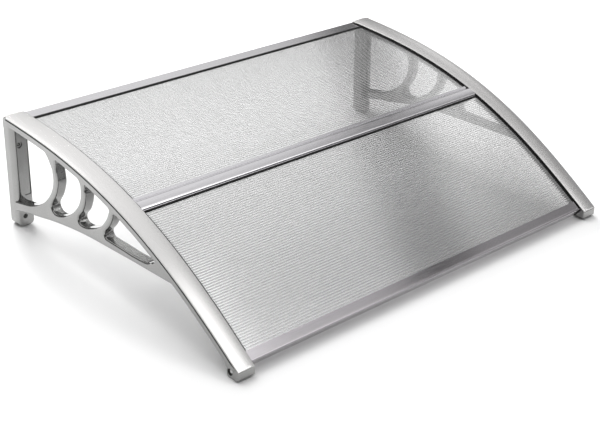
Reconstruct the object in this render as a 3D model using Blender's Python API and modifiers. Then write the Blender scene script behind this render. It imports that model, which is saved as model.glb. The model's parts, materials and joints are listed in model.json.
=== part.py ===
# Polycarbonate door canopy: two moulded side brackets, two twin-wall sheets held by a rear,
# a middle and a front rail, and two cover strips that clamp the sheets onto the brackets.
# Lengths are in metres. X runs along the wall, the wall is the plane Y = 0 and the canopy
# projects towards -Y. The origin is the middle of the rear rail's back face.

import math

import bmesh
import bpy
from mathutils import Matrix, Vector

MM = 0.001

# Roof curve: the side view of the covers' top edge, flatter at both ends than in the middle
WIDTH = 1200 * MM
ARC_LENGTH = 900 * MM
REAR_SLOPE = 5.1
FRONT_SLOPE = 36.8
BOW_EASE = 0.79
CURVE_STEP = 1 * MM
CURVE_OVERRUN = 40 * MM
SEARCH_ROUNDS = 40
ROOF_STEPS = 30
HALF_ROOF_STEPS = 14

# How far cutting tools reach past a face, and how far joined solids run into each other
CUT_MARGIN = 5 * MM
JOIN_OVERLAP = 1 * MM
WELD_DISTANCE = 0.01 * MM
SHARP_ANGLE = math.radians(32)

# Clearance between pieces that touch, and the depths of the layers below the covers' top edge
SEAT_GAP = 0.3 * MM
COVER_EDGE = 2.6 * MM
SEAM_HEIGHT = 3.4 * MM
SEAL_LEG = 1.2 * MM
LIP_THICKNESS = 1.2 * MM
SHEET_TOP = 6.3 * MM
SHEET_THICKNESS = 5 * MM
RAIL_TOP = SHEET_TOP - SEAT_GAP - LIP_THICKNESS
RAIL_UNDER = SHEET_TOP + SHEET_THICKNESS + SEAT_GAP
BRACKET_TOP = RAIL_UNDER + SEAL_LEG + SEAT_GAP

# Twin-wall sheets
CELL_PITCH = 6.2 * MM
SHEET_SKIN = 0.6 * MM
SHEET_WEB = 0.5 * MM
SHEET_INSET = 24.5 * MM

# Cover strips
COVER_REAR_WIDTH = 57 * MM
COVER_FRONT_WIDTH = 45 * MM
TAPER_FROM = 25 * MM
COVER_CROWN = 1.1 * MM
COVER_SKIN = 1.8 * MM
COVER_FLANGE = 1.8 * MM
COVER_ROUND = 1.4 * MM
COVER_BACK = 3.8 * MM
COVER_START = 1 * MM
COVER_OVERHANG = 4 * MM
COVER_END = ARC_LENGTH + COVER_OVERHANG
SCREW_RAIL_OFFSET = 15 * MM
SCREW_RAIL_WIDTH = 12 * MM

# Brackets: the web is the openwork side wall, the leg stands against the wall
WEB_WIDTH = 29 * MM
WEB_INSET = 0.1 * MM
WEB_RIM = 4.5 * MM
CHORD_UNDER = 22 * MM
FLANGE_SETBACK = 3 * MM
FLANGE_WIDTH = COVER_FRONT_WIDTH - FLANGE_SETBACK
FLANGE_THICKNESS = 3 * MM
FLANGE_SINK = 0.1 * MM
FLANGE_OVERLAP = 6 * MM
CHORD_REAR = 8 * MM
OUTER_LIP = 3 * MM
LIP_TOP = COVER_EDGE + SEAM_HEIGHT
LEG_WIDTH = 44 * MM
LEG_DEPTH = 33 * MM
LEG_HEIGHT = 274 * MM
LEG_CORNER = 14 * MM
LEG_INNER_ROUND = 3 * MM
LEG_REAR_ROUND = 1.5 * MM
LEG_FOOT_ROUND = 17 * MM
LEG_TOP_SINK = 2 * MM
REAR_CAP_LENGTH = 12 * MM
REAR_CAP_ROUND = 9 * MM
REAR_CAP_HEIGHT = 26 * MM
REAR_CAP_SINK = 0.6 * MM
REAR_WALL = 3.5 * MM
REAR_CHEEK = 2.7 * MM

# Wall-screw holes and the shallow pocket in the leg's front
WALL_HOLE_DIAMETER = 9 * MM
WALL_HOLE_OFFSET = 20 * MM
UPPER_HOLE_BELOW = 68 * MM
LOWER_HOLE_ABOVE_FOOT = 25 * MM
LOWER_HOLE_BELOW = LEG_HEIGHT - LOWER_HOLE_ABOVE_FOOT
UPPER_RECESS_DIAMETER = 16 * MM
LOWER_RECESS_DIAMETER = 12.5 * MM
RECESS_DEPTH = 5 * MM
POCKET_WIDTH = 19 * MM
POCKET_TOP = 48 * MM
POCKET_ABOVE_FOOT = 77 * MM
POCKET_BOTTOM = LEG_HEIGHT - POCKET_ABOVE_FOOT
POCKET_FOOT_ROUND = 3 * MM
POCKET_HEAD_ROUND = 8 * MM
POCKET_DEPTH = 2.5 * MM
POCKET_EDGE = 2.5 * MM

# Lower edge of the openwork: shares of the roof curve's length away from the wall, and of the
# leg's height below the roof's rear edge
LOWER_EDGE = [
    (0.0089, 0.865), (0.0367, 0.8431), (0.0833, 0.8139), (0.1344, 0.792), (0.19, 0.7628),
    (0.2467, 0.7409), (0.3167, 0.7226), (0.3889, 0.7172), (0.5333, 0.7208),
]
# Openings: shares of the roof curve's length away from the wall, and of the height from the
# chord's underside down to the lower edge
OPENING_1 = [
    (0.01, 0.8677), (0.0367, 0.8809), (0.0667, 0.8821), (0.1078, 0.8665), (0.15, 0.7992),
    (0.1822, 0.6801), (0.2044, 0.5261), (0.215, 0.3569), (0.2133, 0.1901),
]
OPENING_2 = [
    (0.2333, 0.1891), (0.2356, 0.3483), (0.2289, 0.4851), (0.2189, 0.5995), (0.2056, 0.6974),
    (0.2, 0.7634), (0.2067, 0.8327), (0.2211, 0.8635), (0.2467, 0.8488), (0.2744, 0.7796),
    (0.3011, 0.6516), (0.3233, 0.4712), (0.3344, 0.2763), (0.3344, 0.0908),
]
OPENING_3 = [
    (0.3544, 0.1531), (0.3533, 0.2673), (0.3478, 0.4097), (0.3378, 0.5599), (0.3233, 0.6756),
    (0.3178, 0.7529), (0.3233, 0.8156), (0.3367, 0.8323), (0.3556, 0.8169), (0.38, 0.7509),
    (0.4067, 0.6348), (0.4244, 0.492), (0.44, 0.2878), (0.4489, 0.0979),
]
OPENING_4 = [
    (0.4656, 0.0773), (0.4611, 0.2202), (0.4511, 0.4013), (0.4411, 0.5306), (0.43, 0.6434),
    (0.4278, 0.7228), (0.4333, 0.7866), (0.4444, 0.7988), (0.5, 0.779), (0.5444, 0.7539),
]
# The last opening's nose, its shares of length measured back from where the lower edge runs out
OPENING_4_NOSE = [(0.0933, 0.5984), (0.0733, 0.2887)]
OPENING_4_TIP = 0.0578
OPENING_TOPS = [(0.01, 0.1944), (0.2256, 0.3311), (0.3478, 0.4544)]
OPENING_4_TOP = 0.4711
OPENING_CORNER = 5 * MM
RUN_OUT_DROP = 3 * MM

# Rails
SHEET_START = 5.4 * MM
REAR_RAIL_HEIGHT = 20 * MM
REAR_RAIL_WALL = 1.8 * MM
REAR_LIP_LENGTH = 34.5 * MM
REAR_UNDER_LENGTH = 26 * MM
REAR_FOOT = 12 * MM
REAR_FILLET = 1 * MM
RAIL_EDGE_ROUND = 0.5 * MM
MIDDLE_AT = 0.5067 * ARC_LENGTH
MIDDLE_REAR_LIP = 24 * MM
MIDDLE_FRONT_LIP = 18 * MM
MIDDLE_WEB = 1.6 * MM
MIDDLE_UNDER_HALF = 16 * MM
MIDDLE_RIDGE = 8.5 * MM
MIDDLE_RIDGE_RISE = 1.1 * MM
MIDDLE_RIDGE_SLOPE = 0.7 * MM
MIDDLE_EDGE_DROP = 0.3 * MM
CAP_REAR = 12 * MM
CAP_FRONT = 16.5 * MM
CAP_WALL = 1.5 * MM
CAP_STEPS = 14
CAP_FULLNESS = 0.8
FRONT_SETBACK = 7.7 * MM
FRONT_FACE = ARC_LENGTH - FRONT_SETBACK
FRONT_BOTTOM = 31 * MM
FRONT_LIP_WIDTH = 26.3 * MM
FRONT_LIP_START = FRONT_FACE - FRONT_LIP_WIDTH
FRONT_UNDER_WIDTH = 21.3 * MM
FRONT_UNDER_START = FRONT_FACE - FRONT_UNDER_WIDTH
FRONT_NOSE_WIDTH = 8.3 * MM
FRONT_BACK = FRONT_FACE - FRONT_NOSE_WIDTH
FRONT_WALL = 1.5 * MM
FRONT_GROOVE = 1.6 * MM
FRONT_GROOVE_HEIGHT = 2 * MM
FRONT_SHOULDER = 1.2 * MM
FRONT_ROUND = 2.2 * MM
FRONT_FOOT_INSET = 3.6 * MM
FRONT_FOOT_RISE = 6.5 * MM
BEAD_RADIUS = 3 * MM
BEAD_RISE = 0.9 * MM
SCREW_PORT_BEHIND = 3.7 * MM
SCREW_PORT_AT = FRONT_FACE - SCREW_PORT_BEHIND
SCREW_PORT_DEPTH = 22.2 * MM
SCREW_PORT_WALL = 1.3 * MM
RAIL_INSERT = 10 * MM
SOCKET_CLEARANCE = 1.1 * MM

# Rubber strips
GASKET_WIDTH = 9 * MM
MIDDLE_GASKET_WIDTH = 6.5 * MM
GASKET_RISE = 1.8 * MM
GASKET_EDGE = 0.4 * MM
GASKET_BEVEL = 0.8 * MM
EDGE_STRIP_INSET = 0.9 * MM
EDGE_STRIP_WIDTH = 1.8 * MM
EDGE_STRIP_END = 1.5 * MM
SEAL_PRESS_WIDTH = 6 * MM
SEAL_LIP_WIDTH = 5 * MM

# Front tips of the brackets, measured from the screw's axis
TIP_REAR = 11.5 * MM
TIP_BOTTOM = 14.8 * MM
TIP_FRONT = 25.5 * MM
TIP_LENGTH = 34.3 * MM
TIP_START = FRONT_FACE - TIP_LENGTH
TIP_WALL_GAP = 1.7 * MM
TIP_WALL_START = FRONT_FACE + TIP_WALL_GAP
TIP_SINK = 3 * MM
TIP_SHOULDER = 4 * MM
TIP_SHOULDER_ROUND = 5 * MM
TIP_ROUND = 11 * MM
TIP_FRONT_ROUND = 7.5 * MM
TIP_INNER_ROUND = 8 * MM
TIP_RIM = 2 * MM

# The seam between cover and bracket closes towards the tip
SEAM_RUN = 14.3 * MM
SEAM_TURN = FRONT_FACE - SEAM_RUN
COVER_EDGE_END = 1.4 * MM
SEAM_END = 0.4 * MM

# Screws
SCREW_DIAMETER = 4.2 * MM
SCREW_HEAD_DIAMETER = 8.4 * MM
SCREW_HEAD_HEIGHT = 3 * MM
SCREW_CLEARANCE = 0.3 * MM
HEAD_RECESS = 4 * MM
COVER_SCREW_TIP = 4.2 * MM
COVER_SCREW_PLACES = [share * ARC_LENGTH for share in (0.1167, 0.2733, 0.3911, 0.5089, 0.8111)]
FRONT_HEAD_DIAMETER = 10.5 * MM
FRONT_RECESS_DIAMETER = 16 * MM
FRONT_RECESS_DEPTH = 6 * MM
FRONT_SCREW_LENGTH = 46 * MM

# Height of the roof's rear edge above the middle of the rear rail's back face
ROOF_TOP = RAIL_TOP + REAR_RAIL_HEIGHT / 2


def clear_scene():
    """Remove every object so that the model starts from an empty scene."""
    for item in list(bpy.data.objects):
        bpy.data.objects.remove(item, do_unlink=True)


clear_scene()
PARTS = bpy.data.collections.new("polycarbonate_door_canopy")
CUTTERS = bpy.data.collections.new("cutters")
bpy.context.scene.collection.children.link(PARTS)
bpy.context.scene.collection.children.link(CUTTERS)


# Materials
def material(name, color, roughness, metallic=0.0, transmission=0.0):
    """Principled material with the piece's colour and gloss."""
    result = bpy.data.materials.new(name)
    result.use_nodes = True
    shader = result.node_tree.nodes["Principled BSDF"]
    shader.inputs["Base Color"].default_value = (*color, 1.0)
    shader.inputs["Roughness"].default_value = roughness
    shader.inputs["Metallic"].default_value = metallic
    shader.inputs["Transmission Weight"].default_value = transmission
    return result


BRACKET_PAINT = ((0.47, 0.47, 0.46), 0.32, 0.35)
COVER_PAINT = ((0.74, 0.73, 0.72), 0.3, 0.45)
CLEAR_SHEET = ((0.86, 0.88, 0.9), 0.15, 0.0, 0.85)
ALUMINIUM = ((0.72, 0.72, 0.74), 0.28, 1.0)
BLACK_RUBBER = ((0.02, 0.02, 0.02), 0.6, 0.0)
STEEL = ((0.6, 0.6, 0.6), 0.3, 1.0)


# Roof curve
def slope_at(distance):
    """Slope below level, in radians, at a distance along the roof curve from the wall."""
    share = min(max(distance / ARC_LENGTH, 0.0), 1.0)
    eased = (1 - BOW_EASE) * share + BOW_EASE * share * share * (3 - 2 * share)
    return math.radians(REAR_SLOPE + (FRONT_SLOPE - REAR_SLOPE) * eased)


def trace_roof():
    """Points of the roof curve, one for each step of length, from in front of the wall on."""
    steps = math.ceil((ARC_LENGTH + CURVE_OVERRUN) / CURVE_STEP)
    points = [(0.0, ROOF_TOP)]
    for index in range(steps):
        angle = slope_at((index + 0.5) * CURVE_STEP)
        y, z = points[-1]
        points.append((y - math.cos(angle) * CURVE_STEP, z - math.sin(angle) * CURVE_STEP))
    return points


ROOF = trace_roof()


def roof(distance, depth):
    """Point (y, z) at a distance along the roof curve and a depth square below it."""
    place = min(max(distance, 0.0) / CURVE_STEP, len(ROOF) - 1.001)
    index = int(place)
    share = place - index
    start, end = ROOF[index], ROOF[index + 1]
    angle = slope_at(distance)
    extra = min(distance, 0.0)
    y = start[0] + (end[0] - start[0]) * share - math.cos(angle) * extra + math.sin(angle) * depth
    z = start[1] + (end[1] - start[1]) * share - math.sin(angle) * extra - math.cos(angle) * depth
    return y, z


def roof_run(start, end, depth, count):
    """Evenly spaced points along the roof curve at one depth."""
    return [roof(start + (end - start) * index / count, depth) for index in range(count + 1)]


def distance_at(forward, depth):
    """Distance along the roof curve at which the given depth lies this far from the wall."""
    low, high = 0.0, ARC_LENGTH
    for _ in range(SEARCH_ROUNDS):
        middle = (low + high) / 2
        if -roof(middle, depth)[0] < forward:
            low = middle
        else:
            high = middle
    return low


def distance_below(below, depth):
    """Distance along the roof curve at which the given depth lies this far below its rear edge."""
    low, high = 0.0, ARC_LENGTH
    for _ in range(SEARCH_ROUNDS):
        middle = (low + high) / 2
        if ROOF_TOP - roof(middle, depth)[1] < below:
            low = middle
        else:
            high = middle
    return low


def lower_edge():
    """Lower edge of the web as (distance from the wall, z), up to where it meets the chord."""
    line = [(forward * ARC_LENGTH, ROOF_TOP - below * LEG_HEIGHT) for forward, below in LOWER_EDGE]
    run_out = distance_below(ROOF_TOP - line[-1][1] + RUN_OUT_DROP, CHORD_UNDER)
    y, z = roof(run_out, CHORD_UNDER)
    return [*line, (-y, z)]


def height_at(line, forward):
    """Height of a line of points at a distance from the wall."""
    for (start, first), (end, last) in zip(line, line[1:]):
        if forward <= end:
            break
    return first + (last - first) * (forward - start) / (end - start)


def between_edges(points):
    """Side-view points (y, z) placed between the chord's underside and the lower edge."""
    line = lower_edge()
    placed = []
    for share, height in points:
        forward = share * ARC_LENGTH
        top = roof(distance_at(forward, CHORD_UNDER), CHORD_UNDER)[1]
        placed.append((-forward, top + (height_at(line, forward) - top) * height))
    return placed


def cover_width(distance):
    """Width of the covers, which taper towards the front."""
    return COVER_REAR_WIDTH + (COVER_FRONT_WIDTH - COVER_REAR_WIDTH) * distance / COVER_END


# Outlines
def arc(center, radius, start, end, count):
    """Points on an arc, with angles in degrees from the first axis towards the second."""
    angles = [math.radians(start + (end - start) * index / count) for index in range(count + 1)]
    return [(center[0] + radius * math.cos(a), center[1] + radius * math.sin(a)) for a in angles]


def smooth(points, steps):
    """Rounded line through the points, each stretch split into a number of steps."""
    ends = [points[0], *points, points[-1]]
    line = []
    for before, start, end, after in zip(ends, ends[1:], ends[2:], ends[3:]):
        for step in range(steps):
            t = step / steps
            weights = (
                -0.5 * t + t * t - 0.5 * t**3,
                1 - 2.5 * t * t + 1.5 * t**3,
                0.5 * t + 2 * t * t - 1.5 * t**3,
                -0.5 * t * t + 0.5 * t**3,
            )
            corners = (before, start, end, after)
            line.append(tuple(sum(w * c[axis] for w, c in zip(weights, corners)) for axis in (0, 1)))
    line.append(tuple(points[-1]))
    return line


def rounded(corners, steps=4):
    """Closed outline whose corners are (a, b, radius), each radius turned into an arc."""
    outline = []
    count = len(corners)
    for index, (a, b, radius) in enumerate(corners):
        corner = Vector((a, b))
        to_last = Vector(corners[index - 1][:2]) - corner
        to_next = Vector(corners[(index + 1) % count][:2]) - corner
        half = to_last.angle(to_next) / 2
        if radius == 0 or half > math.radians(89):
            outline.append((a, b))
            continue
        reach = min(radius / math.tan(half), 0.49 * to_last.length, 0.49 * to_next.length)
        start = corner + to_last.normalized() * reach
        end = corner + to_next.normalized() * reach
        middle = (to_last.normalized() + to_next.normalized()).normalized()
        center = corner + middle * (reach / math.cos(half))
        first = start - center
        turn = first.angle_signed(end - center)
        for step in range(steps + 1):
            spoke = first.copy()
            spoke.rotate(Matrix.Rotation(-turn * step / steps, 2))
            outline.append(tuple(center + spoke))
    return outline


# Solids
ALONG_X = Matrix(((0, 0, 1, 0), (1, 0, 0, 0), (0, 1, 0, 0), (0, 0, 0, 1)))
ALONG_Y = Matrix(((1, 0, 0, 0), (0, 0, -1, 0), (0, 1, 0, 0), (0, 0, 0, 1)))
ALONG_Z = Matrix.Identity(4)


def to_mesh(source, name):
    """Mesh object made from a curve object, with its caps welded."""
    graph = bpy.context.evaluated_depsgraph_get()
    mesh = bpy.data.meshes.new_from_object(source.evaluated_get(graph))
    shape = bmesh.new()
    shape.from_mesh(mesh)
    bmesh.ops.remove_doubles(shape, verts=shape.verts, dist=WELD_DISTANCE)
    bmesh.ops.recalc_face_normals(shape, faces=shape.faces)
    shape.to_mesh(mesh)
    shape.free()
    mesh.shade_smooth()
    mesh.set_sharp_from_angle(angle=SHARP_ANGLE)
    placing = source.matrix_world.copy()
    bpy.data.objects.remove(source, do_unlink=True)
    result = bpy.data.objects.new(name, mesh)
    result.matrix_world = placing
    return result


def prism(name, outlines, axis, low, high, rim=0.0, grow=0.0):
    """Outline, with any holes after it, pushed along an axis from low to high."""
    curve = bpy.data.curves.new(name, "CURVE")
    curve.dimensions = "2D"
    curve.fill_mode = "BOTH"
    curve.extrude = (high - low) / 2 - rim
    curve.bevel_depth = rim
    curve.bevel_resolution = 1
    curve.offset = grow - rim
    for outline in outlines:
        spline = curve.splines.new("POLY")
        spline.points.add(len(outline) - 1)
        spline.use_cyclic_u = True
        for point, (a, b) in zip(spline.points, outline):
            point.co = (a, b, 0.0, 1.0)
    source = bpy.data.objects.new(name, curve)
    PARTS.objects.link(source)
    middle = (low + high) / 2
    source.matrix_world = axis @ Matrix.Translation((0, 0, -middle if axis is ALONG_Y else middle))
    bpy.context.view_layer.update()
    return to_mesh(source, name)


def along_x(name, outlines, x_side, start, end, rim=0.0, grow=0.0):
    """Side-view outline pushed along X between two distances in from one outer face."""
    edges = sorted(x_side * (WIDTH / 2 - distance) for distance in (start, end))
    return prism(name, outlines, ALONG_X, edges[0], edges[1], rim, grow)


def cylinder(name, radius, depth, matrix, segments=16):
    """Round bar centred on the matrix, along its Z axis."""
    mesh = bpy.data.meshes.new(name)
    shape = bmesh.new()
    bmesh.ops.create_cone(
        shape, cap_ends=True, segments=segments, radius1=radius, radius2=radius, depth=depth
    )
    shape.to_mesh(mesh)
    shape.free()
    mesh.shade_smooth()
    mesh.set_sharp_from_angle(angle=SHARP_ANGLE)
    result = bpy.data.objects.new(name, mesh)
    result.matrix_world = matrix
    return result


def screw(name, matrix, head_diameter, length):
    """Pan-head screw turned from its profile, head at the origin and shank along +Z."""
    head, shank = head_diameter / 2, SCREW_DIAMETER / 2
    profile = [
        (0, length), (shank, 0.9 * length), (shank, 0), (head, 0), (head, -0.45 * SCREW_HEAD_HEIGHT),
        (0.85 * head, -0.8 * SCREW_HEAD_HEIGHT), (0.55 * head, -SCREW_HEAD_HEIGHT), (0, -SCREW_HEAD_HEIGHT),
    ]
    mesh = bpy.data.meshes.new(name)
    mesh.from_pydata([(r, 0, z) for r, z in profile], [(i, i + 1) for i in range(len(profile) - 1)], [])
    piece = place(bpy.data.objects.new(name, mesh), STEEL)
    piece.matrix_world = matrix
    turn = piece.modifiers.new("turn", "SCREW")
    turn.steps = 12
    turn.render_steps = 12
    turn.use_merge_vertices = True
    turn.merge_threshold = 0.00001
    return piece


def place(piece, look):
    """Link a finished piece and give it its own material."""
    PARTS.objects.link(piece)
    piece.data.materials.clear()
    piece.data.materials.append(material(piece.name, *look))
    return piece


def combine(piece, tool, operation):
    """Join, cut or clip a piece with a tool that stays hidden."""
    CUTTERS.objects.link(tool)
    tool.hide_render = True
    tool.display_type = "WIRE"
    step = piece.modifiers.new(tool.name, "BOOLEAN")
    step.operation = operation
    step.object = tool
    return piece


def widen(piece):
    """Spread a piece's inner edge outwards from the front so that it follows the covers' taper."""
    reach = COVER_FRONT_WIDTH - COVER_FLANGE - TAPER_FROM
    for vertex in piece.data.vertices:
        point = piece.matrix_world @ vertex.co
        inset = WIDTH / 2 - abs(point.x)
        share = min(max((inset - TAPER_FROM) / reach, 0.0), 1.0)
        spread = cover_width(distance_at(-point.y, 0.0)) - COVER_FRONT_WIDTH
        point.x = math.copysign(WIDTH / 2 - inset - spread * share, point.x)
        vertex.co = piece.matrix_world.inverted() @ point
    return piece


def normal_frame(x, distance, depth):
    """Frame at a point below the roof curve whose Z axis points square out of the roof."""
    y, z = roof(distance, depth)
    return Matrix.Translation((x, y, z)) @ Matrix.Rotation(slope_at(distance), 4, "X")


def sweep(name, profile, x, start, end, count):
    """Closed section carried along the roof curve, its second axis square to the curve."""
    section = bpy.data.curves.new(name + "_section", "CURVE")
    section.dimensions = "2D"
    edge = section.splines.new("POLY")
    edge.points.add(len(profile) - 1)
    edge.use_cyclic_u = True
    # A section carried towards the front lies with its first axis along -X
    for point, (a, b) in zip(edge.points, profile):
        point.co = (-a, b, 0.0, 1.0)
    section_object = bpy.data.objects.new(name + "_section", section)
    PARTS.objects.link(section_object)
    path = bpy.data.curves.new(name, "CURVE")
    path.dimensions = "3D"
    path.twist_mode = "Z_UP"
    path.bevel_mode = "OBJECT"
    path.bevel_object = section_object
    path.use_fill_caps = True
    line = path.splines.new("POLY")
    line.points.add(count)
    for point, (y, z) in zip(line.points, roof_run(start, end, 0.0, count)):
        point.co = (x, y, z, 1.0)
    source = bpy.data.objects.new(name, path)
    PARTS.objects.link(source)
    bpy.context.view_layer.update()
    result = to_mesh(source, name)
    bpy.data.objects.remove(section_object, do_unlink=True)
    return result


# Side-view outlines that several pieces share
def band(start, end, top, bottom, count):
    """Outline of a layer of the roof between two distances and two depths."""
    return roof_run(start, end, top, count) + roof_run(end, start, bottom, count)


def front_rail_outline():
    """Outer edge of the front rail's section, as distances and depths."""
    inner = SHEET_TOP - SEAT_GAP
    bead = (FRONT_FACE - BEAD_RADIUS, RAIL_TOP - BEAD_RISE + BEAD_RADIUS)
    groove_top = bead[1] + 0.75 * BEAD_RADIUS
    foot = (FRONT_FACE - FRONT_ROUND, FRONT_BOTTOM - FRONT_ROUND)
    slot_end = FRONT_BACK + FRONT_WALL
    outline = [(FRONT_LIP_START, inner), (FRONT_LIP_START, RAIL_TOP), (bead[0] - 0.95 * BEAD_RADIUS, RAIL_TOP)]
    outline += arc(bead, BEAD_RADIUS, -140, 35, 8)
    groove_end = groove_top + FRONT_GROOVE_HEIGHT
    outline += [(FRONT_FACE - FRONT_GROOVE, groove_top), (FRONT_FACE - FRONT_GROOVE, groove_end)]
    outline += [(FRONT_FACE, groove_end + FRONT_SHOULDER)]
    outline += arc(foot, FRONT_ROUND, 0, 90, 4)
    outline += [(FRONT_BACK + FRONT_FOOT_INSET, FRONT_BOTTOM), (FRONT_BACK, FRONT_BOTTOM - FRONT_FOOT_RISE)]
    outline += [(FRONT_BACK, RAIL_UNDER + LIP_THICKNESS), (FRONT_UNDER_START, RAIL_UNDER + LIP_THICKNESS)]
    outline += [(FRONT_UNDER_START, RAIL_UNDER), (slot_end, RAIL_UNDER), (slot_end, inner)]
    return outline


def front_rail_chambers():
    """The two hollows of the front rail, above and below its screw port."""
    top = RAIL_UNDER + LIP_THICKNESS + FRONT_WALL
    back, front = FRONT_BACK + FRONT_WALL, FRONT_FACE - FRONT_WALL
    bottom = FRONT_BOTTOM - FRONT_WALL
    around = SCREW_DIAMETER / 2 + SCREW_CLEARANCE + SCREW_PORT_WALL
    over, under = SCREW_PORT_DEPTH - around, SCREW_PORT_DEPTH + around
    upper = [(back, top), (front - FRONT_GROOVE, top), (front, top + FRONT_SHOULDER)]
    upper += [(front, over), (back, over)]
    foot = FRONT_BACK + FRONT_FOOT_INSET + 0.7 * FRONT_WALL
    lower = [(back + FRONT_WALL, under), (front, under), (front, bottom), (foot, bottom)]
    return [upper, lower]


def on_roof(outline):
    """Side-view points for an outline given as distances and depths."""
    return [roof(distance, depth) for distance, depth in outline]


# Brackets
def opening(points, tops):
    """Closed outline of one opening, its side walls rounded into the chord above it."""
    walls = smooth(between_edges(points), 3)
    first, last = (distance_at(forward * ARC_LENGTH, CHORD_UNDER) for forward in tops)
    top = roof_run(last, first, CHORD_UNDER, 9)
    corners = [(y, z, 0) for y, z in walls]
    corners += [(*top[0], OPENING_CORNER)]
    corners += [(y, z, 0) for y, z in top[1:-1]]
    corners += [(*top[-1], OPENING_CORNER)]
    return rounded(corners, 3)


def web_outlines():
    """Edge and four openings of the openwork web, with the top chord in one piece with it."""
    line = lower_edge()
    run_out = line[-1][0]
    front = TIP_WALL_START + JOIN_OVERLAP
    edge = smooth([(-forward, z) for forward, z in line[:-1]], 3)
    edge += roof_run(distance_at(run_out, CHORD_UNDER), front, CHORD_UNDER, HALF_ROOF_STEPS)
    edge += roof_run(front, CHORD_REAR, 0.0, HALF_ROOF_STEPS)
    last_share = run_out / ARC_LENGTH
    nose = [(last_share - back, height) for back, height in OPENING_4_NOSE]
    openings = [
        opening(OPENING_1, OPENING_TOPS[0]),
        opening(OPENING_2, OPENING_TOPS[1]),
        opening(OPENING_3, OPENING_TOPS[2]),
        opening(OPENING_4 + nose, (OPENING_4_TOP, last_share - OPENING_4_TIP)),
    ]
    return [edge, *openings]


def cover_edge(distance):
    """Depth of the covers' lower edge, thinning out over the tip."""
    if distance <= SEAM_TURN:
        return COVER_EDGE
    share = (distance - SEAM_TURN) / (COVER_END - SEAM_TURN)
    return COVER_EDGE + (COVER_EDGE_END - COVER_EDGE) * share


def over_bracket():
    """Side view of the space above the bracket's outer lip and tip."""
    floor = roof_run(-CUT_MARGIN, SEAM_TURN, LIP_TOP, ROOF_STEPS)
    beyond = COVER_END + 2 * CUT_MARGIN
    end = cover_edge(COVER_END) + SEAM_END
    fall = (LIP_TOP - end) / (COVER_END - SEAM_TURN)
    floor += [roof(COVER_END, end), roof(beyond, end - (beyond - COVER_END) * fall)]
    return floor + roof_run(beyond, -CUT_MARGIN, -2 * CUT_MARGIN, 8)


def over_flange():
    """Side view of the space above the bracket's flange, where cover and sheet lie."""
    return band(-CUT_MARGIN, TIP_WALL_START, -2 * CUT_MARGIN, BRACKET_TOP, ROOF_STEPS)


def rear_cap(name, x_side):
    """Rounded rear corner: an outer cheek and a thin wall behind the cover's end."""
    top = ROOF_TOP - REAR_CAP_SINK
    bottom = ROOF_TOP - REAR_CAP_HEIGHT
    center = (-REAR_CAP_ROUND, top - REAR_CAP_ROUND)
    outline = [(0.0, bottom), *arc(center, REAR_CAP_ROUND, 0, 90, 6), (-REAR_CAP_LENGTH, top)]
    outline += [(-REAR_CAP_LENGTH, bottom)]
    cap = along_x(f"rear_cap_{name}", [outline], x_side, 0.0, COVER_REAR_WIDTH)
    over, under, beyond = top + CUT_MARGIN, bottom - CUT_MARGIN, REAR_CAP_LENGTH + CUT_MARGIN
    room = [(-REAR_WALL, over), (-beyond, over), (-beyond, under), (-REAR_WALL, under)]
    inside = along_x(f"rear_room_{name}", [room], x_side, REAR_CHEEK, COVER_REAR_WIDTH + CUT_MARGIN)
    return combine(cap, inside, "DIFFERENCE")


def leg(x_side):
    """Wall leg: its plan with one soft corner, clipped by its front view with a round foot."""
    outer = WIDTH / 2
    inner = outer - LEG_WIDTH
    plan = rounded(
        [
            (x_side * outer, 0, LEG_REAR_ROUND), (x_side * inner, 0, LEG_REAR_ROUND),
            (x_side * inner, -LEG_DEPTH, LEG_INNER_ROUND), (x_side * outer, -LEG_DEPTH, LEG_CORNER),
        ],
        5,
    )
    top = ROOF_TOP - LEG_TOP_SINK
    body = prism(f"leg_{x_side}", [plan], ALONG_Z, ROOF_TOP - LEG_HEIGHT, top)
    front = rounded(
        [
            (x_side * (outer + CUT_MARGIN), top + CUT_MARGIN, 0),
            (x_side * (inner - CUT_MARGIN), top + CUT_MARGIN, 0),
            (x_side * inner, ROOF_TOP - LEG_HEIGHT, LEG_FOOT_ROUND),
            (x_side * outer, ROOF_TOP - LEG_HEIGHT, LEG_FOOT_ROUND),
        ],
        6,
    )
    clip = prism(f"leg_foot_{x_side}", [front], ALONG_Y, -LEG_DEPTH - CUT_MARGIN, CUT_MARGIN)
    return body, clip


def tip_outline():
    """Side view of the end block that closes the front rail."""
    port_y, port_z = roof(SCREW_PORT_AT, SCREW_PORT_DEPTH)
    front = port_y - TIP_FRONT
    bottom = port_z - TIP_BOTTOM
    wall = TIP_WALL_START - JOIN_OVERLAP
    join = BRACKET_TOP + 2 * JOIN_OVERLAP
    corners = [
        (*roof(TIP_START, join), 0),
        (*roof(wall, join), 0),
        (*roof(wall, -CUT_MARGIN), 0),
        (front, roof(COVER_END, -CUT_MARGIN)[1], 0),
        (front, bottom, TIP_FRONT_ROUND),
        (port_y + TIP_REAR, bottom, TIP_ROUND),
        (port_y + TIP_REAR, port_z + TIP_SHOULDER, TIP_SHOULDER_ROUND),
        (*roof(TIP_START, CHORD_UNDER - TIP_SINK), 0),
    ]
    return rounded(corners, 5)


def tip_corner(x_side):
    """Wedge that rounds the lower inner corner of the tip."""
    bottom = roof(SCREW_PORT_AT, SCREW_PORT_DEPTH)[1] - TIP_BOTTOM
    inner = x_side * (WIDTH / 2 - COVER_FRONT_WIDTH)
    center = (inner + x_side * TIP_INNER_ROUND, bottom + TIP_INNER_ROUND)
    beyond = inner - x_side * CUT_MARGIN
    curve = [
        (center[0] - x_side * TIP_INNER_ROUND * math.cos(a), center[1] - TIP_INNER_ROUND * math.sin(a))
        for a in (math.radians(15 * step) for step in range(7))
    ]
    return [(beyond, center[1]), *curve, (center[0], bottom - CUT_MARGIN), (beyond, bottom - CUT_MARGIN)]


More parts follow.
